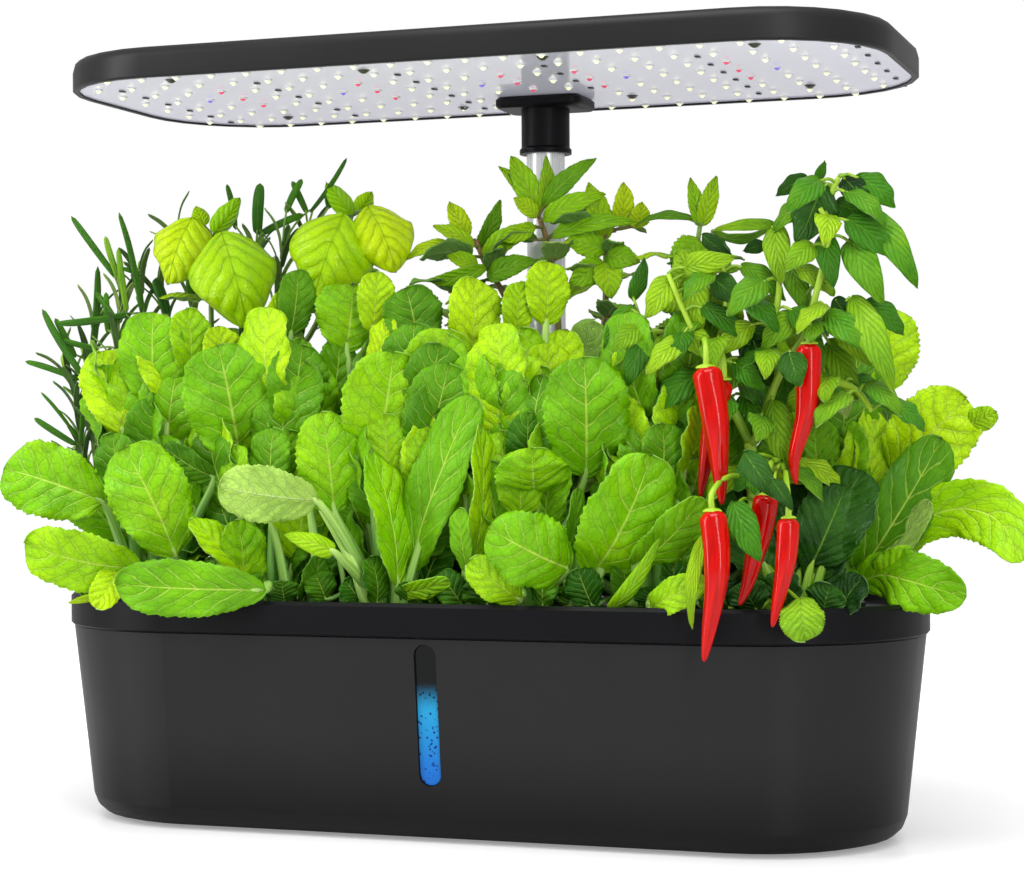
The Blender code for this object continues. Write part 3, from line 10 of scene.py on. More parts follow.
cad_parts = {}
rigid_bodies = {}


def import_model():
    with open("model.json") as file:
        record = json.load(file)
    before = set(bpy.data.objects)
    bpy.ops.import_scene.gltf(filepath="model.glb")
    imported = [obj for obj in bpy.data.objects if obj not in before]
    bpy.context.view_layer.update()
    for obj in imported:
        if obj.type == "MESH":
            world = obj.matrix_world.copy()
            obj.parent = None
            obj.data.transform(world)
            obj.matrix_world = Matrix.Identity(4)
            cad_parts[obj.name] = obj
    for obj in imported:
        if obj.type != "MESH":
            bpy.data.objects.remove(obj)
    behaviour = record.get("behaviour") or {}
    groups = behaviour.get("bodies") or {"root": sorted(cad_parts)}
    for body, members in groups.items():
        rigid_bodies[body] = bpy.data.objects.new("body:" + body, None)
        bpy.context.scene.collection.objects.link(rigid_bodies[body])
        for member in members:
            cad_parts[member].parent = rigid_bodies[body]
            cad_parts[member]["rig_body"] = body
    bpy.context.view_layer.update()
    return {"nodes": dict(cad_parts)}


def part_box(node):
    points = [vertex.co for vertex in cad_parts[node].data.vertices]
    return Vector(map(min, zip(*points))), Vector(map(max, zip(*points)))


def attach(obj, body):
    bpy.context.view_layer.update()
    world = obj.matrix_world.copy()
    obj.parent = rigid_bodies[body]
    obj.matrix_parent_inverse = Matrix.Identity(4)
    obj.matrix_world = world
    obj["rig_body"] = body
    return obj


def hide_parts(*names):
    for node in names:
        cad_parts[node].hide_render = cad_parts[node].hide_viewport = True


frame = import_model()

MM = 0.001
nodes = frame["nodes"]
chance = random.Random(12)
between = chance.uniform


def sway(reach):
    return between(-reach, reach)


# The photograph's camera, solved from the tank's rim and foot and the lamp's corners
IMAGE_WIDTH = 1024
IMAGE_HEIGHT = 891
SENSOR_WIDTH = 36.0
FOCAL_PIXELS = 2348.6
EYE = Vector((0.35926, -0.99928, 0.1728))
YAW = -0.333
PITCH = -0.003
ROLL = -0.006

AHEAD = Vector((math.sin(YAW) * math.cos(PITCH), math.cos(YAW) * math.cos(PITCH), math.sin(PITCH)))
LEVEL_RIGHT = Vector((math.cos(YAW), -math.sin(YAW), 0))
LEVEL_UP = LEVEL_RIGHT.cross(AHEAD)
RIGHT = LEVEL_RIGHT * math.cos(ROLL) + LEVEL_UP * math.sin(ROLL)
UP = LEVEL_UP * math.cos(ROLL) - LEVEL_RIGHT * math.sin(ROLL)
WORLD_UP = Vector((0, 0, 1))


def seen(pixel_x, pixel_y, depth):
    """The point at y = depth that the photograph shows at this pixel."""
    across = (pixel_x - IMAGE_WIDTH / 2) / FOCAL_PIXELS
    down = (pixel_y - IMAGE_HEIGHT / 2) / FOCAL_PIXELS
    ray = AHEAD + RIGHT * across - UP * down
    return EYE + ray * ((depth - EYE.y) / ray.y)


def pixels_wide(count, point):
    """The width of so many pixels at this point."""
    return count * (point - EYE).dot(AHEAD) / FOCAL_PIXELS


def put(name, data):
    """The data as an object of the scene."""
    made = bpy.data.objects.new(name, data)
    bpy.context.scene.collection.objects.link(made)
    return made


def place_camera():
    made = bpy.data.cameras.new("camera")
    made.sensor_width = SENSOR_WIDTH
    made.lens = FOCAL_PIXELS * SENSOR_WIDTH / IMAGE_WIDTH
    made.clip_start = 0.05
    camera = put("camera", made)
    turn = Matrix((RIGHT, UP, -AHEAD)).transposed()
    camera.matrix_world = Matrix.Translation(EYE) @ turn.to_4x4()
    bpy.context.scene.camera = camera


# Node helpers
def fill(tree, made, inputs):
    """Sets a node's inputs, each from a link or a plain value."""
    for name, value in inputs.items():
        if isinstance(value, bpy.types.NodeSocket):
            tree.links.new(value, made.inputs[name])
        else:
            made.inputs[name].default_value = value


def add(tree, kind, inputs=None, **settings):
    """A node with its settings and inputs."""
    made = tree.nodes.new(kind)
    for name, value in settings.items():
        setattr(made, name, value)
    fill(tree, made, inputs or {})
    return made


def sums(tree, operation, first, second=0.0, third=0.0):
    return add(tree, "ShaderNodeMath", {0: first, 1: second, 2: third}, operation=operation).outputs[0]


def times(tree, first, second):
    return sums(tree, "MULTIPLY", first, second)


def plus(tree, first, second):
    return sums(tree, "ADD", first, second)


def colour_mix(tree, share, low, high):
    return add(tree, "ShaderNodeMix", {0: share, 6: low, 7: high}, data_type="RGBA").outputs[2]


def spread(tree, value, low, high, new_low=0.0, new_high=1.0, smooth=True):
    """Value's range low to high laid over new_low to new_high."""
    kind = "SMOOTHSTEP" if smooth else "LINEAR"
    inputs = {"Value": value, "From Min": low, "From Max": high, "To Min": new_low, "To Max": new_high}
    return add(tree, "ShaderNodeMapRange", inputs, interpolation_type=kind).outputs["Result"]


def on_object(tree):
    return add(tree, "ShaderNodeTexCoord").outputs["Object"]


def on_blade(tree):
    """The place across and along a leaf, stem or fruit."""
    return add(tree, "ShaderNodeUVMap", uv_map="blade").outputs["UV"]


def own_tone(tree):
    return add(tree, "ShaderNodeAttribute", attribute_name="tone").outputs["Fac"]


def stretched(tree, where, scale):
    return add(tree, "ShaderNodeMapping", {"Vector": where, "Scale": scale}).outputs["Vector"]


def cloud(tree, where, scale, detail=2.0):
    return add(tree, "ShaderNodeTexNoise", {"Vector": where, "Scale": scale, "Detail": detail}).outputs["Fac"]


def cells(tree, where, scale, feature="F1"):
    made = add(tree, "ShaderNodeTexVoronoi", {"Vector": where, "Scale": scale}, feature=feature)
    return made.outputs["Distance"]


def apart(tree, where):
    return add(tree, "ShaderNodeSeparateXYZ", {"Vector": where}).outputs


def bumped(tree, height, strength, depth):
    inputs = {"Height": height, "Strength": strength, "Distance": depth}
    return add(tree, "ShaderNodeBump", inputs).outputs["Normal"]


def near(tree, mask, level, swing=0.15):
    """A roughness that wanders about its level by the mask's middle."""
    return spread(tree, mask, 0.3, 0.7, level * (1 - swing), level * (1 + swing))


def shade(red, green, blue):
    """An sRGB colour of 0 to 255 as the shader's linear one."""
    def linear(level):
        level /= 255
        return level / 12.92 if level <= 0.04045 else ((level + 0.055) / 1.055) ** 2.4
    return (linear(red), linear(green), linear(blue), 1)


def new_group(name, inputs, outputs):
    group = bpy.data.node_groups.new(name, "ShaderNodeTree")
    for way, labels in (("INPUT", inputs), ("OUTPUT", outputs)):
        for label in labels:
            group.interface.new_socket(label, in_out=way, socket_type="NodeSocketFloat")
    return group, group.nodes.new("NodeGroupInput").outputs, group.nodes.new("NodeGroupOutput")


PATCH_SCALE = 14.0
NET_SCALE = 26.0


def grain_group():
    """Moulded plastic's fine grain, with broad patches where it shines a little more."""
    group, given, leave = new_group("moulded_grain", ("Grain scale",), ("Height", "Patch"))
    where = on_object(group)
    fill(group, leave, {
        "Height": cloud(group, where, given["Grain scale"]),
        "Patch": cloud(group, where, PATCH_SCALE, 4.0),
    })
    return group


def vein_group():
    """A leaf's midrib, side veins and the net between them, from the blade's own length and width."""
    inputs = ("Pairs", "Slant", "Rib width", "Vein width", "Net scale")
    group, given, leave = new_group("leaf_veins", inputs, ("Rib", "Veins", "Net", "Puff"))
    place = on_blade(group)
    parts = apart(group, place)
    off_rib = sums(group, "ABSOLUTE", sums(group, "MULTIPLY_ADD", parts["X"], 2.0, -1.0))
    narrowing = times(group, given["Rib width"], sums(group, "MULTIPLY_ADD", parts["Y"], -1.3, 1.6))
    wander = times(group, cloud(group, place, 4.0), 0.12)
    slanting = times(group, off_rib, times(group, given["Slant"], 0.5))
    along = plus(group, sums(group, "SUBTRACT", parts["Y"], slanting), wander)
    step = sums(group, "FRACT", times(group, along, given["Pairs"]))
    from_vein = sums(group, "ABSOLUTE", sums(group, "SUBTRACT", step, 0.5))
    veins = spread(group, from_vein, 0.0, given["Vein width"], 1.0, 0.0)
    fading = spread(group, off_rib, 0.2, 1.0, 1.0, 0.25)
    narrow = stretched(group, place, (0.6, 1.0, 1.0))
    fine = cells(group, narrow, given["Net scale"], "DISTANCE_TO_EDGE")
    coarse = cells(group, narrow, times(group, given["Net scale"], 0.4), "DISTANCE_TO_EDGE")
    fine = spread(group, fine, 0.0, 0.08, 0.6, 0.0)
    coarse = spread(group, coarse, 0.0, 0.06, 1.0, 0.0)
    fill(group, leave, {
        "Rib": spread(group, off_rib, 0.0, narrowing, 1.0, 0.0),
        "Veins": times(group, veins, fading),
        "Net": sums(group, "MAXIMUM", fine, coarse),
        "Puff": spread(group, from_vein, 0.0, 0.45, 0.0, 1.0),
    })
    return group


def new_material(name):
    made = bpy.data.materials.new(name)
    made.use_nodes = True
    tree = made.node_tree
    return made, tree, tree.nodes["Principled BSDF"]


def grouped(tree, group, values):
    return add(tree, "ShaderNodeGroup", values, node_tree=group).outputs


# The near-black of the painted shade at the foot of moulded plastic
PAINTED_SHADE_TONE = (2, 2, 2)


def moulded(name, low, high, roughness, grain_depth=0.00003, grain_scale=900.0, shine=0.5, coat=0.0,
            glow=0.0, painted_shade_height=0.0):
    """Moulded plastic in two near tones, with grain and uneven gloss, and painted shade that darkens it
    towards the foot below the given height.
    """
    made, tree, shader = new_material(name)
    grain = grouped(tree, GRAIN, {"Grain scale": grain_scale})
    colour = colour_mix(tree, grain["Patch"], shade(*low), shade(*high))
    # Painted shade: the colour darkens towards a near-black foot below the given height.
    if painted_shade_height:
        height = apart(tree, on_object(tree))["Z"]
        colour = colour_mix(tree, spread(tree, height, 0.0, painted_shade_height, 0.8, 0.0), colour, shade(*PAINTED_SHADE_TONE))
    fill(tree, shader, {
        "Base Color": colour,
        "Emission Color": colour,
        "Emission Strength": glow,
        "Roughness": near(tree, grain["Patch"], roughness, 0.08),
        "Normal": bumped(tree, grain["Height"], 0.5, grain_depth),
        "Specular IOR Level": shine,
        "Coat Weight": coat,
    })
    return made


def pole_finish():
    """Drawn aluminium: fine lines along the tube and a satin shine."""
    made, tree, shader = new_material("satin_aluminium")
    lines = cloud(tree, stretched(tree, on_object(tree), (900.0, 900.0, 6.0)), 1.0, 3.0)
    fill(tree, shader, {
        "Base Color": colour_mix(tree, lines, shade(222, 223, 226), shade(246, 246, 248)),
        "Roughness": spread(tree, lines, 0.3, 0.7, 0.24, 0.38),
        "Normal": bumped(tree, lines, 0.2, 0.00002),
        "Metallic": 0.3,
    })
    return made


WATER_LINE = 0.0630
WATER_FADE = 0.0070


def window_finish():
    """The clear slot with water behind it: dark over the water line, bright blue with bubbles under it."""
    made, tree, shader = new_material("level_window_clear")
    where = on_object(tree)
    parts = apart(tree, where)
    low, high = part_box("level_window")
    depth = spread(tree, parts["Z"], low.z, WATER_LINE)
    water = colour_mix(tree, depth, shade(18, 100, 190), shade(30, 146, 196))
    bubbles = spread(tree, cells(tree, where, 540.0), 0.22, 0.36, 1.0, 0.0)
    bubbles = times(tree, bubbles, spread(tree, cloud(tree, where, 160.0), 0.36, 0.50))
    water = colour_mix(tree, bubbles, water, shade(8, 40, 116))
    over = spread(tree, parts["Z"], WATER_LINE - WATER_FADE, WATER_LINE + WATER_FADE)
    edge = spread(tree, parts["X"], low.x, low.x + (high.x - low.x) * 0.3, 1.0, 0.0)
    fill(tree, shader, {
        "Base Color": colour_mix(tree, over, water, shade(3, 4, 5)),
        "Roughness": spread(tree, edge, 0.0, 1.0, 0.08, 0.3),
        "Specular IOR Level": 0.2,
    })
    return made


FLESH_SCALE = 0.002


def leaf_finish(name, dark, mid, bright, vein, gloss, pairs=7.0, slant=0.55, rib=0.05, width=0.1,
                vein_share=0.55, puff_depth=0.0006, underside=False):
    """A leaf's skin: tone from the blade's own attribute, paler rib and veins, the puffed net between, and
    painted shade in the hollows beside the veins and along the net.
    """
    made, tree, shader = new_material(name)
    dark, mid, bright, vein = (shade(*colour) for colour in (dark, mid, bright, vein))
    values = {"Pairs": pairs, "Slant": slant, "Rib width": rib, "Vein width": width, "Net scale": NET_SCALE}
    lines = grouped(tree, VEINS, values)
    blotch = cloud(tree, on_object(tree), 45.0, 3.0)
    tone = plus(tree, own_tone(tree), sums(tree, "MULTIPLY_ADD", blotch, 0.5, -0.25))
    body = colour_mix(tree, spread(tree, tone, 0.0, 0.5, smooth=False), dark, mid)
    body = colour_mix(tree, spread(tree, tone, 0.5, 1.0, smooth=False), body, bright)
    # Painted shade: darker in the hollows beside the veins, and along the creases of the fine net.
    body = colour_mix(tree, spread(tree, lines["Puff"], 0.0, 0.6, 0.16, 0.0), body, dark)
    for line, share, tint in (("Net", 0.6, dark), ("Veins", 0.7, vein), ("Rib", 1.3, vein)):
        body = colour_mix(tree, times(tree, lines[line], vein_share * share), body, tint)
    sunk = 0.9 if underside else -0.5
    raised = times(tree, lines["Puff"], 0.6)
    for line, share in (("Veins", sunk), ("Net", sunk * 0.4), ("Rib", sunk)):
        raised = plus(tree, raised, times(tree, lines[line], share))
    fill(tree, shader, {
        "Base Color": body,
        "Roughness": near(tree, blotch, gloss),
        "Normal": bumped(tree, raised, 0.9, puff_depth),
        "Subsurface Weight": 0.12,
        "Subsurface Radius": (0.9, 1.0, 0.2),
        "Subsurface Scale": FLESH_SCALE,
        "Specular IOR Level": 0.2,
    })
    return made


def stem_finish(name, low, high, gloss=0.4):
    """Ribbed green stem, darker or redder along its ribs, going from its low colour at the foot to its high
    one at the end: on the green stems the darker foot is painted shade, on the mint the change to red is its
    own colour.
    """
    made, tree, shader = new_material(name)
    place = on_blade(tree)
    ribs = cloud(tree, stretched(tree, place, (14.0, 3.0, 1.0)), 1.0, 3.0)
    # Painted shade on the green stems: darker towards the foot. The mint stem's turn to red towards its end
    # is its own colour.
    along = sums(tree, "MULTIPLY_ADD", apart(tree, place)["Y"], 0.9, -0.55)
    share = plus(tree, spread(tree, ribs, 0.3, 0.7, -0.2, 0.2), plus(tree, own_tone(tree), along))
    share = sums(tree, "MINIMUM", sums(tree, "MAXIMUM", share, 0.0), 1.0)
    fill(tree, shader, {
        "Base Color": colour_mix(tree, share, shade(*low), shade(*high)),
        "Roughness": near(tree, ribs, gloss),
        "Normal": bumped(tree, ribs, 0.5, 0.0003),
        "Subsurface Weight": 0.1,
        "Subsurface Radius": (0.4, 1.0, 0.2),
        "Subsurface Scale": FLESH_SCALE,
    })
    return made


def sponge_finish():
    """The dark open-celled plug that holds a plant's roots."""
    made, tree, shader = new_material("root_sponge")
    holes = cells(tree, on_object(tree), 700.0)
    fill(tree, shader, {
        # Painted shade: the pits are darker than the cell walls.
        "Base Color": colour_mix(tree, holes, shade(24, 18, 14), shade(74, 58, 44)),
        "Roughness": 0.9,
        "Normal": bumped(tree, holes, 1.0, 0.0008),
    })
    return made


def chili_finish():
    """Waxy red skin with faint long streaks."""
    made, tree, shader = new_material("chili_red_skin")
    streaks = cloud(tree, stretched(tree, on_blade(tree), (9.0, 2.5, 1.0)), 1.0, 3.0)
    red = colour_mix(tree, spread(tree, streaks, 0.3, 0.7), shade(168, 2, 0), shade(208, 8, 2))
    fill(tree, shader, {
        "Base Color": colour_mix(tree, own_tone(tree), red, shade(92, 6, 8)),
        "Roughness": spread(tree, streaks, 0.3, 0.7, 0.10, 0.18),
        "Normal": bumped(tree, streaks, 0.3, 0.0004),
        "Specular IOR Level": 0.25,
    })
    return made


# Leaf and stem shapes
Form = namedtuple("Form", "widest foot_power tip_power tip_round teeth tooth columns cup ruffle pucker pairs")

FORMS = {
    "mustard": Form(0.55, 0.72, 2.1, 0.52, 18, 0.04, 12, 0.06, 0.06, 0.034, 6),
    "backing": Form(0.55, 0.70, 2.1, 0.52, 10, 0.04, 8, 0.02, 0.06, 0.02, 5),
    "round": Form(0.5, 0.5, 2.0, 0.5, 16, 0.05, 12, -0.2, 0.06, 0.036, 5),
    "basil": Form(0.38, 0.46, 1.9, 0.78, 10, 0.0, 14, -0.5, 0.03, 0.035, 6),
    "mint": Form(0.42, 0.6, 1.7, 0.95, 11, 0.05, 8, 0.12, 0.04, 0.03, 6),
    "balm": Form(0.42, 0.55, 1.9, 0.85, 9, 0.09, 8, -0.12, 0.05, 0.03, 5),
    "chili": Form(0.38, 0.6, 1.55, 0.95, 10, 0.0, 8, -0.1, 0.06, 0.012, 7),
    "needle": Form(0.5, 0.25, 3.0, 0.5, 4, 0.0, 4, -0.3, 0.0, 0.0, 1),
    "strap": Form(0.35, 0.35, 1.5, 0.8, 8, 0.0, 6, -0.2, 0.02, 0.0, 3),
}
STEPS_PER_TOOTH = 3
BLADE_THICKNESS = 0.00045
BOW_FROM = 0.33
BOW_TO = 0.7
RIB_SINK_SHARE = 0.05
RIB_REACH = 5
RUFFLE_WAVES = 17
STEM_SIDES = 8
UNDER_SLOT, STALK_SLOT, SPONGE_SLOT = 1, 2, 3
GOLDEN_TURN = 2.4
MERGE = 0.000002


def half_width(form, along):
    """Half the blade's width, as a share of its widest, at this share of its length."""
    if along < form.widest:
        back = (form.widest - along) / form.widest
        share = max(0.0, 1 - back ** 2) ** form.foot_power
    else:
        back = (along - form.widest) / (1 - form.widest)
        share = max(0.0, 1 - back ** form.tip_power) ** form.tip_round
    step = along * form.teeth % 1
    return share * (1 - form.tooth + form.tooth * 2 * step * min(1.0, 6 * (1 - along)))


def on_curve(points, share):
    """The place at this share of a smooth curve through the points."""
    last = len(points) - 1
    place = min(max(share, 0.0), 1.0) * last
    first = min(int(place), last - 1)
    part = place - first
    before = points[max(first - 1, 0)]
    after = points[min(first + 2, last)]
    start, end = points[first], points[first + 1]
    return 0.5 * ((2 * start) + (end - before) * part
                  + (2 * before - 5 * start + 4 * end - after) * part ** 2
                  + (3 * start - before - 3 * end + after) * part ** 3)


CURVE_STEP = 0.02
STALK_STEP = 0.03
DEPTH = Vector((0, 1, 0))


def heading(points, share, step=CURVE_STEP):
    """The curve's direction at this share of it."""
    return (on_curve(points, share + step) - on_curve(points, share - step)).normalized()


def new_growth():
    growth = bmesh.new()
    growth.loops.layers.uv.new("blade")
    growth.verts.layers.float.new("tone")
    return growth


def faces_of(verts):
    """The verts' faces, each once, in the same order each run."""
    return list(dict.fromkeys(face for vert in verts for face in vert.link_faces))


def sheet_grid(growth, columns, rows, move, tone, material=0):
    """A grid laid over a surface: move(across, along) gives each point, across -1 to 1 and along 0 to 1."""
    made = bmesh.ops.create_grid(growth, x_segments=columns, y_segments=rows, size=1)["verts"]
    uv = growth.loops.layers.uv["blade"]
    shade_layer = growth.verts.layers.float["tone"]
    for face in faces_of(made):
        face.material_index = material
        face.smooth = True
        for loop in face.loops:
            loop[uv].uv = ((loop.vert.co.x + 1) / 2, (loop.vert.co.y + 1) / 2)
    for vert in made:
        across, along = vert.co.x, (vert.co.y + 1) / 2
        vert.co = move(across, along)
        vert[shade_layer] = tone
    bmesh.ops.remove_doubles(growth, verts=made, dist=MERGE)


def blade(growth, kind, foot, tip, width, turn=0.0, bow=0.12, tone=0.5, twist=0.0, toward=None):
    """One leaf blade from foot to tip. At turn 0 its upper side faces `toward`, or the camera."""
    form = FORMS[kind]
    phase = between(0, 10)
    length = (tip - foot).length
    facing = (toward if toward is not None else EYE - (foot + tip) / 2).normalized()
    chord = (tip - foot).normalized()
    side = Matrix.Rotation(math.radians(turn), 3, chord) @ chord.cross(facing).normalized()
    raised = side.cross(chord) * bow * length
    spine = [foot, foot.lerp(tip, BOW_FROM) + raised, foot.lerp(tip, BOW_TO) + raised, tip]

    def move(across, along):
        ahead = heading(spine, along)
        out = (side - ahead * side.dot(ahead)).normalized()
        out = Matrix.Rotation(math.radians(twist) * along, 3, ahead) @ out
        reach = width / 2 * half_width(form, along)
        off = abs(across)
        rise = form.cup * off ** 2 * reach
        rise += form.ruffle * width * off ** 3 * math.sin(along * RUFFLE_WAVES + phase + across * 1.3)
        puff = math.sin(math.pi * (along * form.pairs - off * 1.4 + 0.5)) ** 2
        rise += form.pucker * width * puff * (1 - off ** 2) * min(1.0, off * 4)
        rise -= RIB_SINK_SHARE * reach * max(0.0, 1 - off * RIB_REACH)
        return on_curve(spine, along) + out * (across * reach) + out.cross(ahead) * rise

    sheet_grid(growth, form.columns, form.teeth * STEPS_PER_TOOTH, move, tone)


def stalk(growth, points, thick, thin, tone=0.5, sides=STEM_SIDES, rows=0, flat=1.0):
    """A stem or leaf stalk through the points, closed at both ends."""
    rows = rows or max(6, 4 * (len(points) - 1))

    def move(across, along):
        inner = min(max((along * rows - 1) / (rows - 2), 0.0), 1.0)
        ahead = heading(points, inner, STALK_STEP)
        level = abs(ahead.z) < 0.2
        out = (ahead.orthogonal() if level else ahead.cross(DEPTH)).normalized()
        at_end = along * rows < 0.5 or along * rows > rows - 0.5
        radius = 0.0 if at_end else thick + (thin - thick) * inner
        angle = -math.pi * across
        round_it = out * math.cos(angle) + ahead.cross(out) * math.sin(angle) * flat
        return on_curve(points, inner) + round_it * radius

    sheet_grid(growth, sides, rows, move, tone, STALK_SLOT)


def finished(growth, name, materials, body, replaced=()):
    """The growth as one piece that rides on its body and stands in for the replaced nodes."""
    mesh = bpy.data.meshes.new(name)
    growth.to_mesh(mesh)
    growth.free()
    for material in materials:
        mesh.materials.append(material)
    piece = put(name, mesh)
    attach(piece, body)
    if replaced:
        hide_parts(*replaced)


LONGEST_EDGE = 0.008


def thicken(growth):
    """Gives every blade made so far its thickness, and its underside the second material."""
    tops = set(growth.faces)
    bmesh.ops.solidify(growth, geom=growth.faces[:], thickness=BLADE_THICKNESS)
    for vert in growth.verts:
        nearest_edge = min(vert.link_edges, key=bmesh.types.BMEdge.calc_length)
        farthest = max(vert.link_edges, key=bmesh.types.BMEdge.calc_length)
        if farthest.calc_length() > LONGEST_EDGE and vert.link_faces[0] not in tops:
            vert.co = nearest_edge.other_vert(vert).co
    for face in growth.faces:
        if face not in tops:
            face.material_index = UNDER_SLOT
            face.smooth = True


# Pods, left to right, front row first
PODS_A_ROW = 6
CHILI_POD = 6
ROSEMARY_POD = 7
POD_SPACING = 0.060
FRONT_Y = -0.03397
REAR_Y = 0.025
DECK_TOP = 0.098
PLUG_TOP = 0.0985
PLUG_FOOT = 0.0482
PLUG_RADIUS = 0.0135
PLUG_FOOT_RADIUS = 0.0105
PLUG_WALL_FROM = 0.1
PLUG_DOME_FROM = 0.8
PLUG_DOME = 0.0015
PLUG_POLE = 0.00005
STALK_BASE = PLUG_TOP - 0.002


def pod_centre(number):
    across = ((number - 1) % PODS_A_ROW - (PODS_A_ROW - 1) / 2) * POD_SPACING
    return Vector((across, FRONT_Y if number <= PODS_A_ROW else REAR_Y, DECK_TOP))


def plug(growth, centre):
    """The tapered sponge in the basket, with a domed top."""
    def move(across, along):
        angle = -math.pi * across
        if along > PLUG_DOME_FROM:
            up = (along - PLUG_DOME_FROM) / (1 - PLUG_DOME_FROM)
            radius = PLUG_RADIUS * math.cos(up * math.pi / 2)
            height = PLUG_TOP + PLUG_DOME * math.sin(up * math.pi / 2)
        elif along < PLUG_WALL_FROM:
            radius = PLUG_FOOT_RADIUS * along / PLUG_WALL_FROM
            height = PLUG_FOOT
        else:
            up = (along - PLUG_WALL_FROM) / (PLUG_DOME_FROM - PLUG_WALL_FROM)
            radius = PLUG_FOOT_RADIUS + (PLUG_RADIUS - PLUG_FOOT_RADIUS) * up
            height = PLUG_FOOT + (PLUG_TOP - PLUG_FOOT) * up
        if radius < PLUG_POLE:
            return Vector((centre.x, centre.y, height))
        radius *= 1 + 0.05 * math.sin(5 * angle + 40 * along) * (PLUG_WALL_FROM < along < 0.95)
        return Vector((centre.x + math.cos(angle) * radius, centre.y + math.sin(angle) * radius, height))

    sheet_grid(growth, 20, 20, move, 0.5, SPONGE_SLOT)


def planted(growth, number, name, kind, node):
    """The grown plant on its sponge, as one piece of its pod."""
    plug(growth, pod_centre(number))
    finished(growth, name, SKINS[kind] + [SPONGE], "pod_%d" % number, [node])
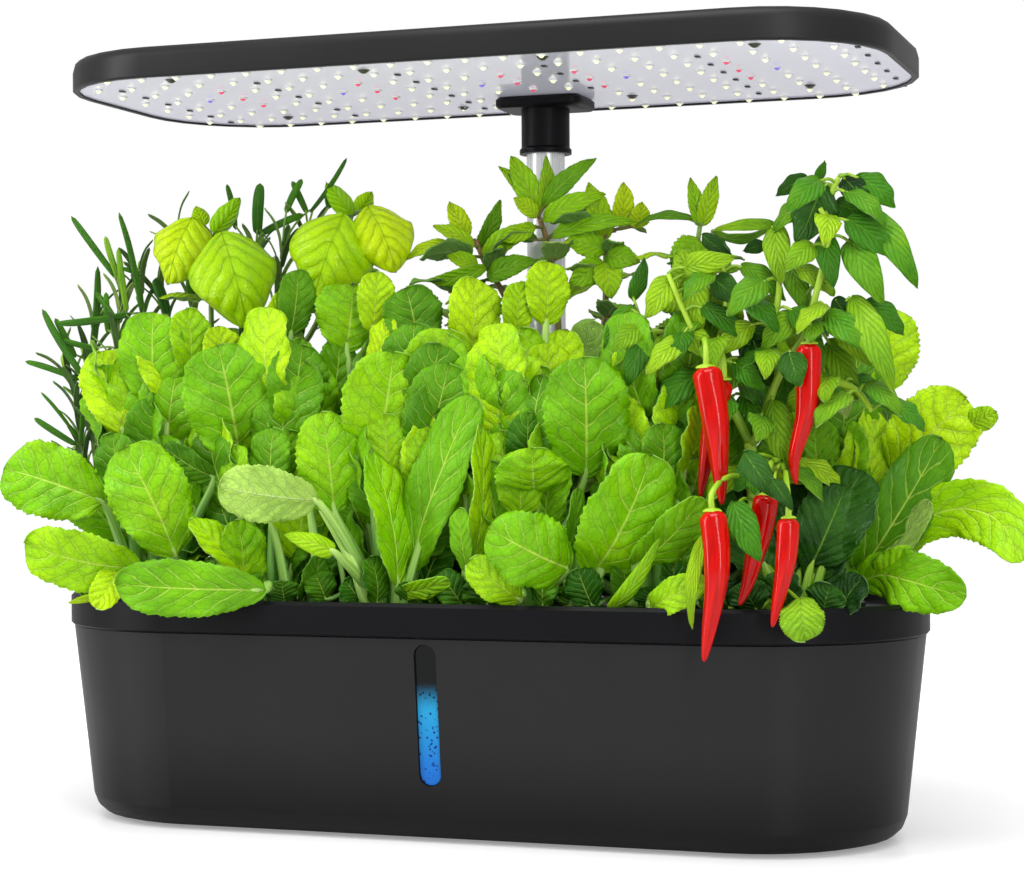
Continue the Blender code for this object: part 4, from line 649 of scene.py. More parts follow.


# Leaves read from the photograph: foot pixel, tip pixel, width in pixels, turn in degrees about the rib, how
# far the foot and the tip stand ahead of the pod in mm, bow as a share of the length, tone from dark to lime,
# and the kind where it isn't the plant's own. The tone holds painted shade, where a leaf lies in shadow, as
# well as the leaf's own colour
GREENS_SEEN = {
    1: (
        (104, 502, 4, 468, 76, 10, 24, 44, 0.1, 0.56), (141, 568, 25, 543, 62, -20, 34, 62, 0.14, 0.68),
        (176, 556, 124, 448, 80, 12, 24, 36, 0.1, 0.56), (188, 522, 122, 522, 40, 150, 22, 40, 0.12, 0.55),
        (120, 566, 96, 608, 32, 0, 40, 58, 0.1, 0.92), (216, 478, 164, 446, 34, -30, 8, 16, 0.1, 0.15),
        (124, 436, 100, 352, 60, 8, 8, 2, 0.08, 0.86), (166, 420, 160, 356, 46, 20, -2, -6, 0.08, 0.72),
        (190, 376, 186, 309, 44, 25, 2, 4, 0.1, 0.66), (150, 348, 156, 314, 32, -15, 0, 4, 0.1, 0.4),
        (168, 400, 150, 338, 44, 15, 4, 6, 0.1, 0.92), (196, 512, 158, 436, 44, -15, 4, 10, 0.1, 0.4),
        (120, 540, 62, 478, 56, 20, 10, 22, 0.12, 0.48),
        (98, 590, 58, 584, 9, 0, 38, 44, 0.08, 0.9, "strap"),
        (96, 596, 68, 603, 8, 0, 40, 46, 0.08, 0.95, "strap"),
    ),
    2: (
        (246, 580, 190, 520, 40, 38, 20, 38, 0.08, 0.74), (240, 458, 218, 345, 92, 6, 2, 14, 0.1, 0.46),
        (266, 590, 116, 584, 58, -10, 42, 60, 0.06, 0.4), (284, 422, 300, 338, 44, 40, -6, -4, 0.06, 0.55),
        (268, 352, 282, 292, 30, 40, -8, -8, 0.06, 0.86),
        (290, 338, 298, 270, 38, 18, -10, -12, 0.08, 0.22), (226, 384, 218, 326, 40, 10, -4, 0, 0.1, 0.96),
        (268, 420, 266, 332, 36, -55, -14, -16, 0.06, 0.3),
        (240, 600, 236, 520, 52, 30, 14, 24, 0.12, 0.55), (262, 520, 250, 448, 46, -35, 0, 4, 0.1, 0.3),
    ),
    3: (
        (318, 500, 219, 486, 58, 168, 28, 46, -0.1, 0.9),
        (335, 552, 285, 534, 22, 10, 34, 42, 0.12, 0.72, "strap"),
        (334, 512, 322, 412, 66, 8, 16, 24, 0.08, 0.55, "round"),
        (376, 462, 394, 352, 92, 6, 6, 16, 0.1, 0.62), (408, 574, 474, 396, 58, -24, 8, 18, 0.06, 0.36),
        (398, 586, 370, 452, 54, 40, 16, 22, 0.08, 0.56), (328, 420, 340, 340, 50, 20, -8, -10, 0.08, 0.3),
        (346, 350, 352, 284, 74, 14, -12, -14, 0.1, 0.58),
        (376, 372, 392, 318, 34, -40, -6, -4, 0.08, 0.98),
        (372, 332, 377, 272, 38, 10, -10, -10, 0.08, 0.9),
        (420, 352, 406, 288, 60, 12, -10, -10, 0.08, 0.18), (398, 592, 450, 580, 22, 20, 10, 26, 0.1, 0.62),
        (300, 420, 306, 342, 34, -40, -4, -6, 0.08, 0.6),
    ),
    4: (
        (470, 368, 474, 278, 56, 12, -10, -12, 0.1, 0.92), (516, 412, 522, 328, 60, 12, -4, -4, 0.1, 0.55),
        (514, 336, 520, 282, 34, 10, -8, -8, 0.1, 0.8), (546, 326, 546, 262, 46, 12, -12, -12, 0.1, 0.84),
        (472, 570, 480, 424, 44, 50, 16, 20, 0.06, 0.72),
        (524, 472, 528, 412, 44, 10, 6, 14, 0.12, 0.12, "round"),
        (534, 494, 532, 448, 76, 0, 10, 26, 0.18, 0.55, "round"),
        (568, 568, 488, 528, 78, -6, 26, 52, 0.2, 0.46, "round"),
        (560, 572, 578, 488, 24, 40, 14, 18, 0.08, 0.32), (586, 476, 584, 357, 86, 6, 4, 18, 0.1, 0.4),
        (548, 420, 566, 330, 60, -20, -14, -14, 0.08, 0.84),
        (468, 572, 460, 508, 26, -30, 22, 26, 0.08, 0.4), (500, 560, 492, 470, 46, -40, 4, 8, 0.08, 0.32),
        (520, 600, 470, 560, 40, -10, 30, 46, 0.14, 0.7),
    ),
    5: (
        (592, 574, 652, 455, 90, 16, 14, 34, 0.14, 0.5),
        (716, 540, 724, 404, 70, -10, -10, -14, 0.08, 0.34),
        (744, 570, 748, 480, 60, 12, -8, -12, 0.08, 0.22),
        (566, 520, 568, 440, 44, 12, -12, -14, 0.08, 0.26), (634, 566, 702, 498, 52, 30, 22, 34, 0.1, 0.42),
        (610, 612, 660, 538, 18, 20, 30, 40, 0.1, 0.6, "strap"),
        (634, 458, 668, 392, 26, 30, -6, -8, 0.06, 0.14), (672, 482, 686, 404, 24, 40, -8, -8, 0.06, 0.2),
        (636, 420, 632, 356, 42, 20, -12, -12, 0.08, 0.45), (690, 540, 668, 460, 44, -35, 0, 4, 0.08, 0.35),
        (650, 610, 706, 580, 34, -10, 30, 44, 0.14, 0.66),
    ),
    12: (
        (880, 390, 886, 306, 72, 6, -6, -6, 0.1, 0.86, "round"),
        (890, 470, 966, 398, 84, 10, 2, 6, 0.1, 0.95),
        (966, 426, 996, 412, 26, 10, 4, 8, 0.1, 0.72, "round"),
        (850, 588, 942, 438, 64, 10, 22, 28, 0.08, 0.16), (836, 492, 832, 386, 44, 20, 0, 0, 0.08, 0.92),
        (862, 504, 872, 408, 40, 30, 4, 4, 0.08, 0.86), (832, 560, 838, 484, 54, 25, 14, 18, 0.1, 0.36),
        (778, 466, 840, 552, 50, 20, 16, 30, 0.12, 0.9), (812, 606, 852, 566, 44, 10, 34, 44, 0.12, 0.22),
        (872, 582, 914, 550, 36, 10, 36, 46, 0.1, 0.6), (862, 590, 930, 500, 26, 160, 30, 36, 0.06, 0.9),
        (834, 606, 866, 584, 22, 20, 42, 50, 0.1, 0.95, "strap"),
        (900, 560, 936, 490, 46, -30, 6, 10, 0.1, 0.62),
    ),
}
# Leaves whose rib arches: pixels along the rib, width, foot and tip ahead, tone
ARCHING_SEEN = {
    12: (
        (((884, 550), (916, 524), (954, 509), (988, 514), (1009, 534), (1020, 562)), 60, 22, 50, 0.66),
        (((857, 584), (880, 575), (903, 579), (934, 588), (966, 597)), 58, 36, 62, 0.46),
    ),
}


SEEN_STALK = 0.0016
BACK_STALK = 0.0013
LOW_STALK = 0.0014
APRON_STALK = 0.0009
STALK_SPREAD = 0.006
NO_LENGTH = 0.0001
LOW_RISE = 0.012


def leaf(growth, feet, kind, foot, tip, width, turn, bow, tone, thick, twist=0.0, toward=None):
    """A blade, and the foot that a stalk of this thickness is to reach."""
    blade(growth, kind, foot, tip, width, turn, bow, tone, twist, toward)
    feet.append((foot, tip, tone, thick))


def seen_leaf(growth, centre, row, feet, kind="mustard"):
    """A leaf of one table row."""
    foot_x, foot_y, tip_x, tip_y, width, turn, foot_ahead, tip_ahead, bow, tone, *other = row
    foot = seen(foot_x, foot_y, centre.y - foot_ahead * MM)
    tip = seen(tip_x, tip_y, centre.y - tip_ahead * MM)
    leaf(growth, feet, other[0] if other else kind, foot, tip, pixels_wide(width, foot), turn, bow, tone,
         SEEN_STALK, sway(12))


def traced(path, depth, lean=0.0):
    """A pixel path's points at y = depth, leaning back by so much at its end."""
    last = len(path) - 1
    return [seen(x, y, depth + lean * place / last) for place, (x, y) in enumerate(path)]


def rooted(centre, across, deep):
    """A stem's foot in the sponge, up to so far off its centre."""
    return Vector((centre.x + sway(across), centre.y + sway(deep), STALK_BASE))


def grow_stalks(growth, centre, feet):
    """Stalks from the sponge to each leaf's foot, bowing outwards, that run on as the leaf's rib."""
    for foot, tip, tone, thick in feet:
        away = Vector((foot.x - centre.x, foot.y - centre.y, 0))
        start = Vector((centre.x, centre.y, STALK_BASE))
        if away.length > NO_LENGTH:
            start += away.normalized() * min(STALK_SPREAD, away.length * 0.4)
        rise = foot.z - start.z
        low = start.lerp(foot, 0.4) + WORLD_UP * abs(rise) * 0.12 + away * 0.05
        if rise < LOW_RISE:
            low = start.lerp(foot, 0.5) + WORLD_UP * LOW_RISE / 2
        points = [start, low, foot.lerp(low, 0.1), foot.lerp(tip, 0.12)]
        stalk(growth, points, thick * 2.1, thick * 0.6, 0.3 + tone * 0.5)


# Leaves behind a pod's seen ones: how many, ranges of length, width, height over the deck and tone, and tilt
ROSETTES = (
    (7, (0.035, 0.05), (0.022, 0.032), (0.01, 0.07), (0.2, 0.9), 0.6),
    (5, (0.03, 0.04), (0.018, 0.028), (0.004, 0.02), (0.1, 0.6), 0.4),
)


def rosette(growth, centre, feet, count, lengths, widths, heights, tones, tilt):
    """Leaves round the back of a pod, where the photograph doesn't look."""
    for number in range(count):
        angle = math.pi * ((number + 0.5) / count) + sway(0.3)
        out = Vector((math.cos(angle), math.sin(angle), 0))
        height = between(*heights)
        foot = centre + out * between(0.006, 0.013) + WORLD_UP * height
        length = between(*lengths)
        rise = between(tilt * 0.6, tilt * 1.3)
        tip = foot + (out * math.cos(rise) * 0.55 + WORLD_UP * math.sin(rise)) * length
        facing = out * math.sin(rise) * 0.6 + WORLD_UP * math.cos(rise)
        tone = between(*tones)
        leaf(growth, feet, "backing", foot, tip, between(*widths), sway(25), 0.14, tone, BACK_STALK, sway(20),
             facing)


FILL_LEAVES = 24
FILL_ACROSS = 0.0162
FILL_LOW = 0.024
FILL_HIGH = 0.092


def fill_between(growth, centre, feet):
    """Leaves that stand close together behind the seen ones, facing out over the front or the back."""
    for number in range(FILL_LEAVES):
        front = number % 3 != 2
        height = FILL_LOW + (FILL_HIGH - FILL_LOW) * ((number + 0.5) / FILL_LEAVES + sway(0.08))
        across = sway(1)
        deep = between(-0.006, 0.010) if front else between(0.008, 0.020)
        foot = centre + Vector((across * FILL_ACROSS, deep * 0.6, height))
        length = between(0.034, 0.046)
        lean = Vector((across * 0.35, -0.18 if front else 0.3, 1)).normalized()
        tip = foot + lean * length
        facing = Vector((across * 0.7 + sway(0.5), -1.0 if front else 1.0, between(0.2, 0.8)))
        tone = between(0.15, 0.85)
        leaf(growth, feet, "backing", foot, tip, length * between(0.62, 0.8), sway(14), 0.1, tone, BACK_STALK,
             sway(20), facing)


LOW_LEAVES = 16
LOW_STALKS = 9
APRON_LEAVES = 5
APRON_ACROSS = 0.030
APRON_AHEAD = 0.017


def grow_low(growth, centre, feet, count=LOW_LEAVES, stalks=LOW_STALKS):
    """Leaves painted dark as shade, and long stalks, low over the deck, that close the view between the
    plants.
    """
    for number in range(count):
        angle = 2 * math.pi * (number + sway(0.4)) / count
        out = Vector((math.cos(angle), abs(math.sin(angle)) * 0.7 - 0.1, 0))
        foot = centre + out * between(0.006, 0.016) + WORLD_UP * between(0.002, 0.026)
        length = between(0.028, 0.040)
        tip = foot + (out * 0.45 + WORLD_UP).normalized() * length
        facing = Vector((sway(0.6), -1, between(0.0, 0.5)))
        # Painted shade: the low leaves take only the darkest tones.
        tone = between(0.0, 0.28)
        leaf(growth, feet, "backing", foot, tip, length * between(0.66, 0.85), sway(25), 0.1, tone, LOW_STALK,
             toward=facing)
    for number in range(stalks):
        angle = 2 * math.pi * number / stalks + sway(0.3)
        out = Vector((math.cos(angle), math.sin(angle) * 0.7, 0))
        foot = centre + out * between(0.010, 0.019) + WORLD_UP * between(0.034, 0.060)
        tip = foot + (out * 0.3 + WORLD_UP) * 0.03
        facing = out + WORLD_UP * 0.3 - DEPTH * 0.5
        tone = between(0.2, 0.7)
        leaf(growth, feet, "backing", foot, tip, 0.021, sway(30), 0.1, tone, SEEN_STALK, toward=facing)


def grow_apron(growth, centre, feet):
    """Short leaves painted dark as shade that stand on the deck behind the front rim."""
    for number in range(APRON_LEAVES):
        across = (2 * (number + between(0.2, 0.8)) / APRON_LEAVES - 1) * APRON_ACROSS
        foot = centre + Vector((across, -APRON_AHEAD * between(0.7, 1.0), between(0.002, 0.004)))
        tip = foot + Vector((across * 0.2 + sway(0.006), -0.003, between(0.009, 0.022)))
        # Painted shade: only the darkest tones.
        tone = between(0.0, 0.14)
        leaf(growth, feet, "backing", foot, tip, between(0.012, 0.020), sway(50), 0.12, tone, APRON_STALK)


# Broad leaf stalks seen over the rim: pixel path, width at its foot and its end, how far ahead, tone
STALKS_SEEN = {
    2: (
        (((272, 602), (244, 566), (206, 532)), 13, 5, 15, 0.55),
        (((286, 604), (281, 562), (268, 508)), 16, 7, 13, 0.45),
        (((240, 602), (236, 580), (222, 548)), 9, 5, 16, 0.6),
    ),
    3: (
        (((316, 604), (316, 560), (310, 506)), 16, 8, 13, 0.4),
        (((368, 604), (352, 562), (320, 506)), 17, 8, 17, 0.75),
        (((396, 604), (394, 550), (376, 474)), 15, 5, 14, 0.6),
        (((402, 604), (416, 556), (436, 486)), 14, 5, 13, 0.5),
        (((346, 604), (344, 584), (338, 552)), 9, 5, 12, 0.3),
    ),
    4: (
        (((468, 606), (467, 560), (466, 494)), 15, 6, 13, 0.5),
        (((504, 604), (520, 578), (536, 556)), 10, 6, 12, 0.45),
        (((570, 608), (567, 588), (556, 548)), 10, 5, 16, 0.7),
        (((486, 606), (492, 584), (494, 550)), 11, 6, 11, 0.35),
    ),
    5: (
        (((584, 608), (602, 566), (632, 486)), 24, 6, 16, 0.55),
        (((614, 608), (646, 568), (666, 524)), 15, 6, 15, 0.6),
        (((574, 608), (576, 580), (578, 552)), 12, 8, 12, 0.25),
        (((668, 608), (664, 590), (668, 570)), 11, 7, 14, 0.45),
    ),
}
STALK_FLATNESS = 0.6


def grow_seen_stalks(growth, centre, number):
    """The broad stalks in front, from the sponge over the deck and up behind the first leaves."""
    for path, foot_wide, end_wide, ahead, tone in STALKS_SEEN.get(number, ()):
        points = traced(path, centre.y - ahead * MM)
        start = Vector((centre.x, centre.y, STALK_BASE)).lerp(points[0], 0.1)
        thick = pixels_wide(foot_wide, points[0]) / 2
        thin = pixels_wide(end_wide, points[-1]) / 2
        stalk(growth, [start] + points, thick, thin, tone, rows=16, flat=STALK_FLATNESS)


def grow_greens(number, node):
    """A head of mustard-like greens: the leaves that the photograph shows and the ones behind them."""
    centre = pod_centre(number)
    growth = new_growth()
    feet = []
    for row in GREENS_SEEN[number]:
        seen_leaf(growth, centre, row, feet)
    for path, width, foot_ahead, tip_ahead, tone in ARCHING_SEEN.get(number, ()):
        points = traced(path, centre.y - foot_ahead * MM, (foot_ahead - tip_ahead) * MM)
        arching_blade(growth, points, pixels_wide(width, points[0]), tone)
        feet.append((points[0], points[1], tone, SEEN_STALK))
    fill_between(growth, centre, feet)
    for row in ROSETTES:
        rosette(growth, centre, feet, *row)
    grow_low(growth, centre, feet)
    if number <= PODS_A_ROW:
        grow_apron(growth, centre, feet)
    thicken(growth)
    grow_stalks(growth, centre, feet)
    grow_seen_stalks(growth, centre, number)
    planted(growth, number, node + "_leaves", "mustard", node)


def arching_blade(growth, points, width, tone):
    """A mustard blade whose rib follows the points."""
    form = FORMS["mustard"]
    phase = between(0, 10)

    def move(across, along):
        here = on_curve(points, along)
        ahead = heading(points, along)
        out = ahead.cross((EYE - here).normalized()).normalized()
        reach = width / 2 * half_width(form, along)
        off = abs(across)
        rise = form.cup * off ** 2 * reach
        rise += form.ruffle * width * off ** 3 * math.sin(along * RUFFLE_WAVES + phase)
        rise -= RIB_SINK_SHARE * reach * max(0.0, 1 - off * RIB_REACH)
        return here + out * across * reach + out.cross(ahead) * rise

    sheet_grid(growth, form.columns, form.teeth * STEPS_PER_TOOTH, move, tone)


# Radius of stems and twigs at their foot and their end
SPRIG_STALK = (0.0013, 0.0006)
HERB_STALK = (0.0021, 0.0011)
TRUNK_STALK = (0.0033, 0.0026)
BRANCH_STALK = (0.0022, 0.0010)
FRUIT_STALK = (0.0011, 0.0013)
NEEDLE_TWIG = (0.0006, 0.0005)
HERB_TWIG = (0.0009, 0.0006)
CHILI_TWIG = (0.0008, 0.0006)
NEEDLE_WIDENING = 1.35
NEEDLE_WIDTH = 0.0032
NEEDLES_FROM = 6
NEEDLE_PLACES = 27
TWIG_LIFT = 0.001
# Rosemary: the sprigs' pixel paths, then single needles from foot pixel to tip pixel, with their width in
# pixels, how far ahead in mm, and tone
ROSEMARY_SPRIGS = (
    ((146, 596), (128, 470), (118, 370), (120, 300)),
    ((150, 596), (140, 450), (142, 380), (144, 320), (138, 268)),
    ((154, 596), (158, 500), (165, 400), (168, 330), (158, 292)),
    ((148, 596), (110, 500), (92, 430), (89, 374), (95, 318)),
    ((142, 596), (100, 500), (82, 445), (76, 396), (66, 372)),
    ((156, 596), (180, 450), (191, 350), (191, 280), (178, 238)),
    ((160, 596), (230, 400), (248, 310), (256, 254)),
    ((160, 596), (250, 400), (275, 310), (283, 246)),
    ((162, 596), (280, 400), (306, 310), (308, 240)),
    ((140, 596), (108, 560), (88, 510), (74, 462)),
)
NEEDLES_SEEN = (
    (118, 280, 71, 216, 5, 0, 0.2), (142, 313, 119, 212, 5, 6, 0.3), (119, 280, 105, 236, 5, 2, 0.8),
    (127, 313, 118, 248, 5, 4, 0.8), (142, 275, 122, 268, 4, 4, 0.3), (89, 374, 98, 266, 6, -6, 0.15),
    (132, 314, 56, 324, 6, 4, 0.25), (119, 326, 96, 292, 5, 0, 0.3), (84, 378, 42, 309, 6, 2, 0.2),
    (76, 358, 55, 318, 5, 0, 0.3), (80, 380, 25, 361, 5, -2, 0.25), (98, 349, 63, 340, 5, 2, 0.3),
    (108, 334, 106, 292, 5, 0, 0.35),
    (236, 230, 227, 184, 5, -4, 0.2), (257, 235, 260, 183, 9, 0, 0.2), (285, 213, 302, 179, 6, 0, 0.25),
    (258, 235, 303, 214, 6, -4, 0.25), (307, 213, 292, 181, 5, -2, 0.2), (310, 213, 347, 158, 4, 0, 0.2),
    (329, 209, 327, 190, 5, 0, 0.25), (168, 314, 155, 278, 9, 4, 0.1), (191, 299, 191, 270, 8, 0, 0.15),
    (76, 445, 34, 418, 5, 4, 0.2), (78, 439, 41, 392, 3, 4, 0.3), (81, 443, 82, 414, 4, 4, 0.3),
)


def twig(growth, start, foot, onward, size, tone, lift=0.0):
    """A thin stalk from a stem to a leaf's foot and on under its rib."""
    stalk(growth, [start, start.lerp(foot, 0.5) + WORLD_UP * lift, onward], *size, tone)


def grow_rosemary():
    """Bare thin sprigs set with needles all along, and the single needles that the photograph shows."""
    centre = pod_centre(ROSEMARY_POD)
    growth = new_growth()
    sprigs = []
    for path in ROSEMARY_SPRIGS:
        points = traced(path, centre.y, between(-2, 13) * MM)
        points[0] = rooted(centre, 0.006, 0.005)
        sprigs.append(points)
    roots = []
    for foot_x, foot_y, tip_x, tip_y, width, ahead, tone in NEEDLES_SEEN:
        foot = seen(foot_x, foot_y, centre.y - ahead * MM)
        tip = seen(tip_x, tip_y, centre.y - (ahead + 4) * MM)
        roots.append((nearest(sprigs, foot), foot, tip))
        width = pixels_wide(width * NEEDLE_WIDENING, foot)
        blade(growth, "needle", foot, tip, width, sway(30), 0.06, tone)
    for points in sprigs:
        for place in range(NEEDLES_FROM, NEEDLE_PLACES):
            share = place / NEEDLE_PLACES
            here = on_curve(points, share)
            ahead = heading(points, share)
            out = Matrix.Rotation(place * GOLDEN_TURN, 3, ahead) @ ahead.orthogonal().normalized()
            length = between(0.017, 0.028)
            tip = here + (out * 0.5 + ahead * 0.85).normalized() * length
            blade(growth, "needle", here, tip, NEEDLE_WIDTH, sway(20), 0.1, between(0.2, 1.0),
                  toward=ahead - out * 0.2)
    thicken(growth)
    for points in sprigs:
        stalk(growth, points, *SPRIG_STALK, 0.4, rows=24)
    for start, foot, tip in roots:
        twig(growth, start, foot, foot.lerp(tip, 0.1), NEEDLE_TWIG, 0.6, TWIG_LIFT)
    planted(growth, ROSEMARY_POD, "rosemary_sprigs", "needle", "rosemary_plant")


# Herbs with a stem: pixel paths of the stems and rows of leaves as for the greens
BASIL_STEMS = (
    ((210, 592), (214, 480), (212, 360), (210, 232)),
    ((214, 592), (262, 430), (318, 320), (352, 215)),
)
BASIL_SEEN = (
    (192, 218, 168, 284, 70, 20, 12, 20, 0.14, 0.86), (222, 232, 248, 328, 88, -4, 20, 32, 0.2, 0.6),
    (214, 234, 240, 198, 24, 20, 12, 12, 0.1, 0.5), (204, 226, 196, 206, 18, 0, 10, 10, 0.1, 0.7),
    (352, 216, 326, 183, 22, 15, 2, 2, 0.1, 0.5), (358, 214, 372, 192, 20, 10, 0, 0, 0.1, 0.6),
    (344, 214, 312, 304, 88, 6, 18, 28, 0.2, 0.66), (368, 206, 396, 272, 68, -14, 10, 18, 0.16, 0.92),
    (222, 330, 246, 372, 40, 10, -4, 2, 0.14, 0.4), (300, 345, 276, 386, 36, -10, -4, 2, 0.14, 0.35),
)
MINT_LEFT_STEMS = (
    ((448, 590), (468, 470), (502, 350), (508, 306), (485, 263), (476, 240)),
    ((452, 590), (440, 450), (452, 340), (470, 268)),
)
MINT_LEFT_SEEN = (
    (466, 240, 449, 202, 22, 20, 2, 4, 0.1, 0.95), (478, 250, 500, 200, 20, 30, -4, -6, 0.08, 0.25),
    (474, 246, 433, 226, 18, 30, 4, 10, 0.1, 0.7), (450, 243, 405, 260, 16, 40, 6, 12, 0.12, 0.85),
    (478, 266, 447, 256, 18, 20, 8, 14, 0.12, 0.55), (486, 267, 427, 281, 18, -20, 8, 16, 0.14, 0.45),
    (483, 256, 536, 225, 24, -20, 2, 4, 0.12, 0.5), (487, 277, 536, 260, 24, -20, 6, 10, 0.12, 0.2),
    (500, 306, 470, 290, 18, 10, 4, 8, 0.12, 0.4), (508, 306, 530, 290, 18, -10, 4, 8, 0.12, 0.6),
)
MINT_RIGHT_STEMS = (
    ((566, 590), (556, 480), (560, 360), (551, 260), (539, 217)),
    ((568, 590), (590, 450), (604, 330), (606, 251), (604, 210)),
)
MINT_RIGHT_SEEN = (
    (536, 214, 499, 166, 16, 30, 0, 4, 0.1, 0.6), (538, 212, 511, 156, 26, 10, 0, 2, 0.1, 0.5),
    (541, 210, 546, 156, 18, 30, -2, -4, 0.1, 0.6), (543, 206, 596, 158, 22, -20, 0, 2, 0.12, 0.22),
    (543, 219, 606, 194, 22, -20, 2, 6, 0.12, 0.55), (537, 216, 514, 198, 18, 20, 4, 8, 0.1, 0.72),
    (535, 226, 499, 240, 18, -10, 6, 12, 0.12, 0.6), (606, 240, 588, 183, 26, 10, 0, 4, 0.12, 0.66),
    (620, 226, 624, 182, 24, 20, -2, 0, 0.1, 0.95), (636, 228, 642, 202, 22, 20, -4, -2, 0.1, 0.92),
    (552, 236, 636, 222, 20, -30, 4, 8, 0.12, 0.4), (606, 250, 566, 240, 26, 10, 4, 10, 0.12, 0.5),
    (604, 262, 570, 284, 28, 0, 6, 12, 0.14, 0.45), (606, 262, 612, 298, 30, 0, 6, 12, 0.14, 0.6),
    (606, 255, 640, 262, 26, -10, 4, 8, 0.12, 0.35),
)
BALM_STEMS = (
    ((696, 590), (680, 480), (676, 360), (690, 290), (700, 226)),
    ((700, 590), (722, 450), (716, 330), (713, 231)),
)
BALM_SEEN = (
    (700, 226, 690, 178, 16, 10, 0, 2, 0.08, 0.55, "mint"),
    (702, 226, 716, 176, 19, 0, 0, 2, 0.08, 0.65, "mint"),
    (713, 231, 776, 223, 14, 40, 2, 4, 0.25, 0.2, "chili"),
    (693, 218, 637, 224, 12, 40, 2, 4, 0.16, 0.2, "chili"), (700, 240, 672, 268, 34, 0, 6, 12, 0.14, 0.45),
    (702, 244, 730, 270, 32, 0, 4, 10, 0.14, 0.4), (694, 280, 664, 312, 36, 10, 8, 14, 0.14, 0.6),
    (700, 282, 728, 316, 34, -10, 8, 14, 0.14, 0.35), (684, 326, 652, 352, 36, 10, 6, 12, 0.14, 0.35),
    (690, 330, 722, 356, 34, -10, 6, 12, 0.14, 0.55), (680, 372, 650, 398, 34, 10, 4, 8, 0.14, 0.5),
    (684, 374, 716, 400, 34, -10, 4, 8, 0.14, 0.3),
)
HERB_LOW_LEAVES = 12
PAIRS_FROM = 3
PAIRS_TO = 0.94
Herb = namedtuple("Herb", "pod node stems leaves kind pairs size")
HERBS = (
    Herb(8, "basil_plant", BASIL_STEMS, BASIL_SEEN, "basil", 7, 0.022),
    Herb(9, "mint_plant_left", MINT_LEFT_STEMS, MINT_LEFT_SEEN, "mint", 9, 0.024),
    Herb(10, "mint_plant_right", MINT_RIGHT_STEMS, MINT_RIGHT_SEEN, "mint", 9, 0.024),
    Herb(11, "balm_plant", BALM_STEMS, BALM_SEEN, "balm", 9, 0.022),
)


def grow_herb(herb):
    """An upright herb: stems from the photograph, its seen leaves, and paired leaves down the hidden stem."""
    centre = pod_centre(herb.pod)
    growth = new_growth()
    stems = []
    for path in herb.stems:
        points = traced(path, centre.y)
        points[0] = rooted(centre, 0.005, 0.004)
        stems.append(points)
    feet = []
    low = []
    for row in herb.leaves:
        seen_leaf(growth, centre, row, feet, herb.kind)
    shoots = [(foot, tip, nearest(stems, foot)) for foot, tip, *_ in feet]
    grow_low(growth, centre, low, HERB_LOW_LEAVES)
    for points in stems:
        for step in range(PAIRS_FROM, herb.pairs):
            share = step / herb.pairs * PAIRS_TO
            here = on_curve(points, share)
            ahead = heading(points, share)
            turn = Matrix.Rotation(step * math.pi / 2 + sway(0.3), 3, ahead)
            across = turn @ ahead.orthogonal().normalized()
            for out in (across, -across):
                length = herb.size * between(0.75, 1.15)
                direction = (out + ahead * between(0.1, 0.5)).normalized()
                foot = here + direction * length * 0.2
                tip = foot + direction * length - WORLD_UP * length * 0.2
                blade(growth, herb.kind, foot, tip, length * between(0.5, 0.62), sway(20), 0.12,
                      between(0.15, 0.8), toward=ahead)
                shoots.append((foot, tip, here))
    thicken(growth)
    for points in stems:
        stalk(growth, points, *HERB_STALK, 0.5, rows=28)
    for foot, tip, start in shoots:
        twig(growth, start, foot, foot.lerp(tip, 0.1), HERB_TWIG, 0.5)
    grow_stalks(growth, centre, low)
    planted(growth, herb.pod, herb.node + "_leaves", herb.kind, herb.node)


STEM_PLACES = 60
BARE_PLACES = 12


def nearest(stems, point):
    """The place on the stems that a leaf at this point grows from, sooner from below than from above."""
    places = [on_curve(points, step / STEM_PLACES)
              for points in stems for step in range(BARE_PLACES, STEM_PLACES + 1)]
    return min(places, key=lambda place: (place - point).length + max(0.0, place.z - point.z) * 0.5)


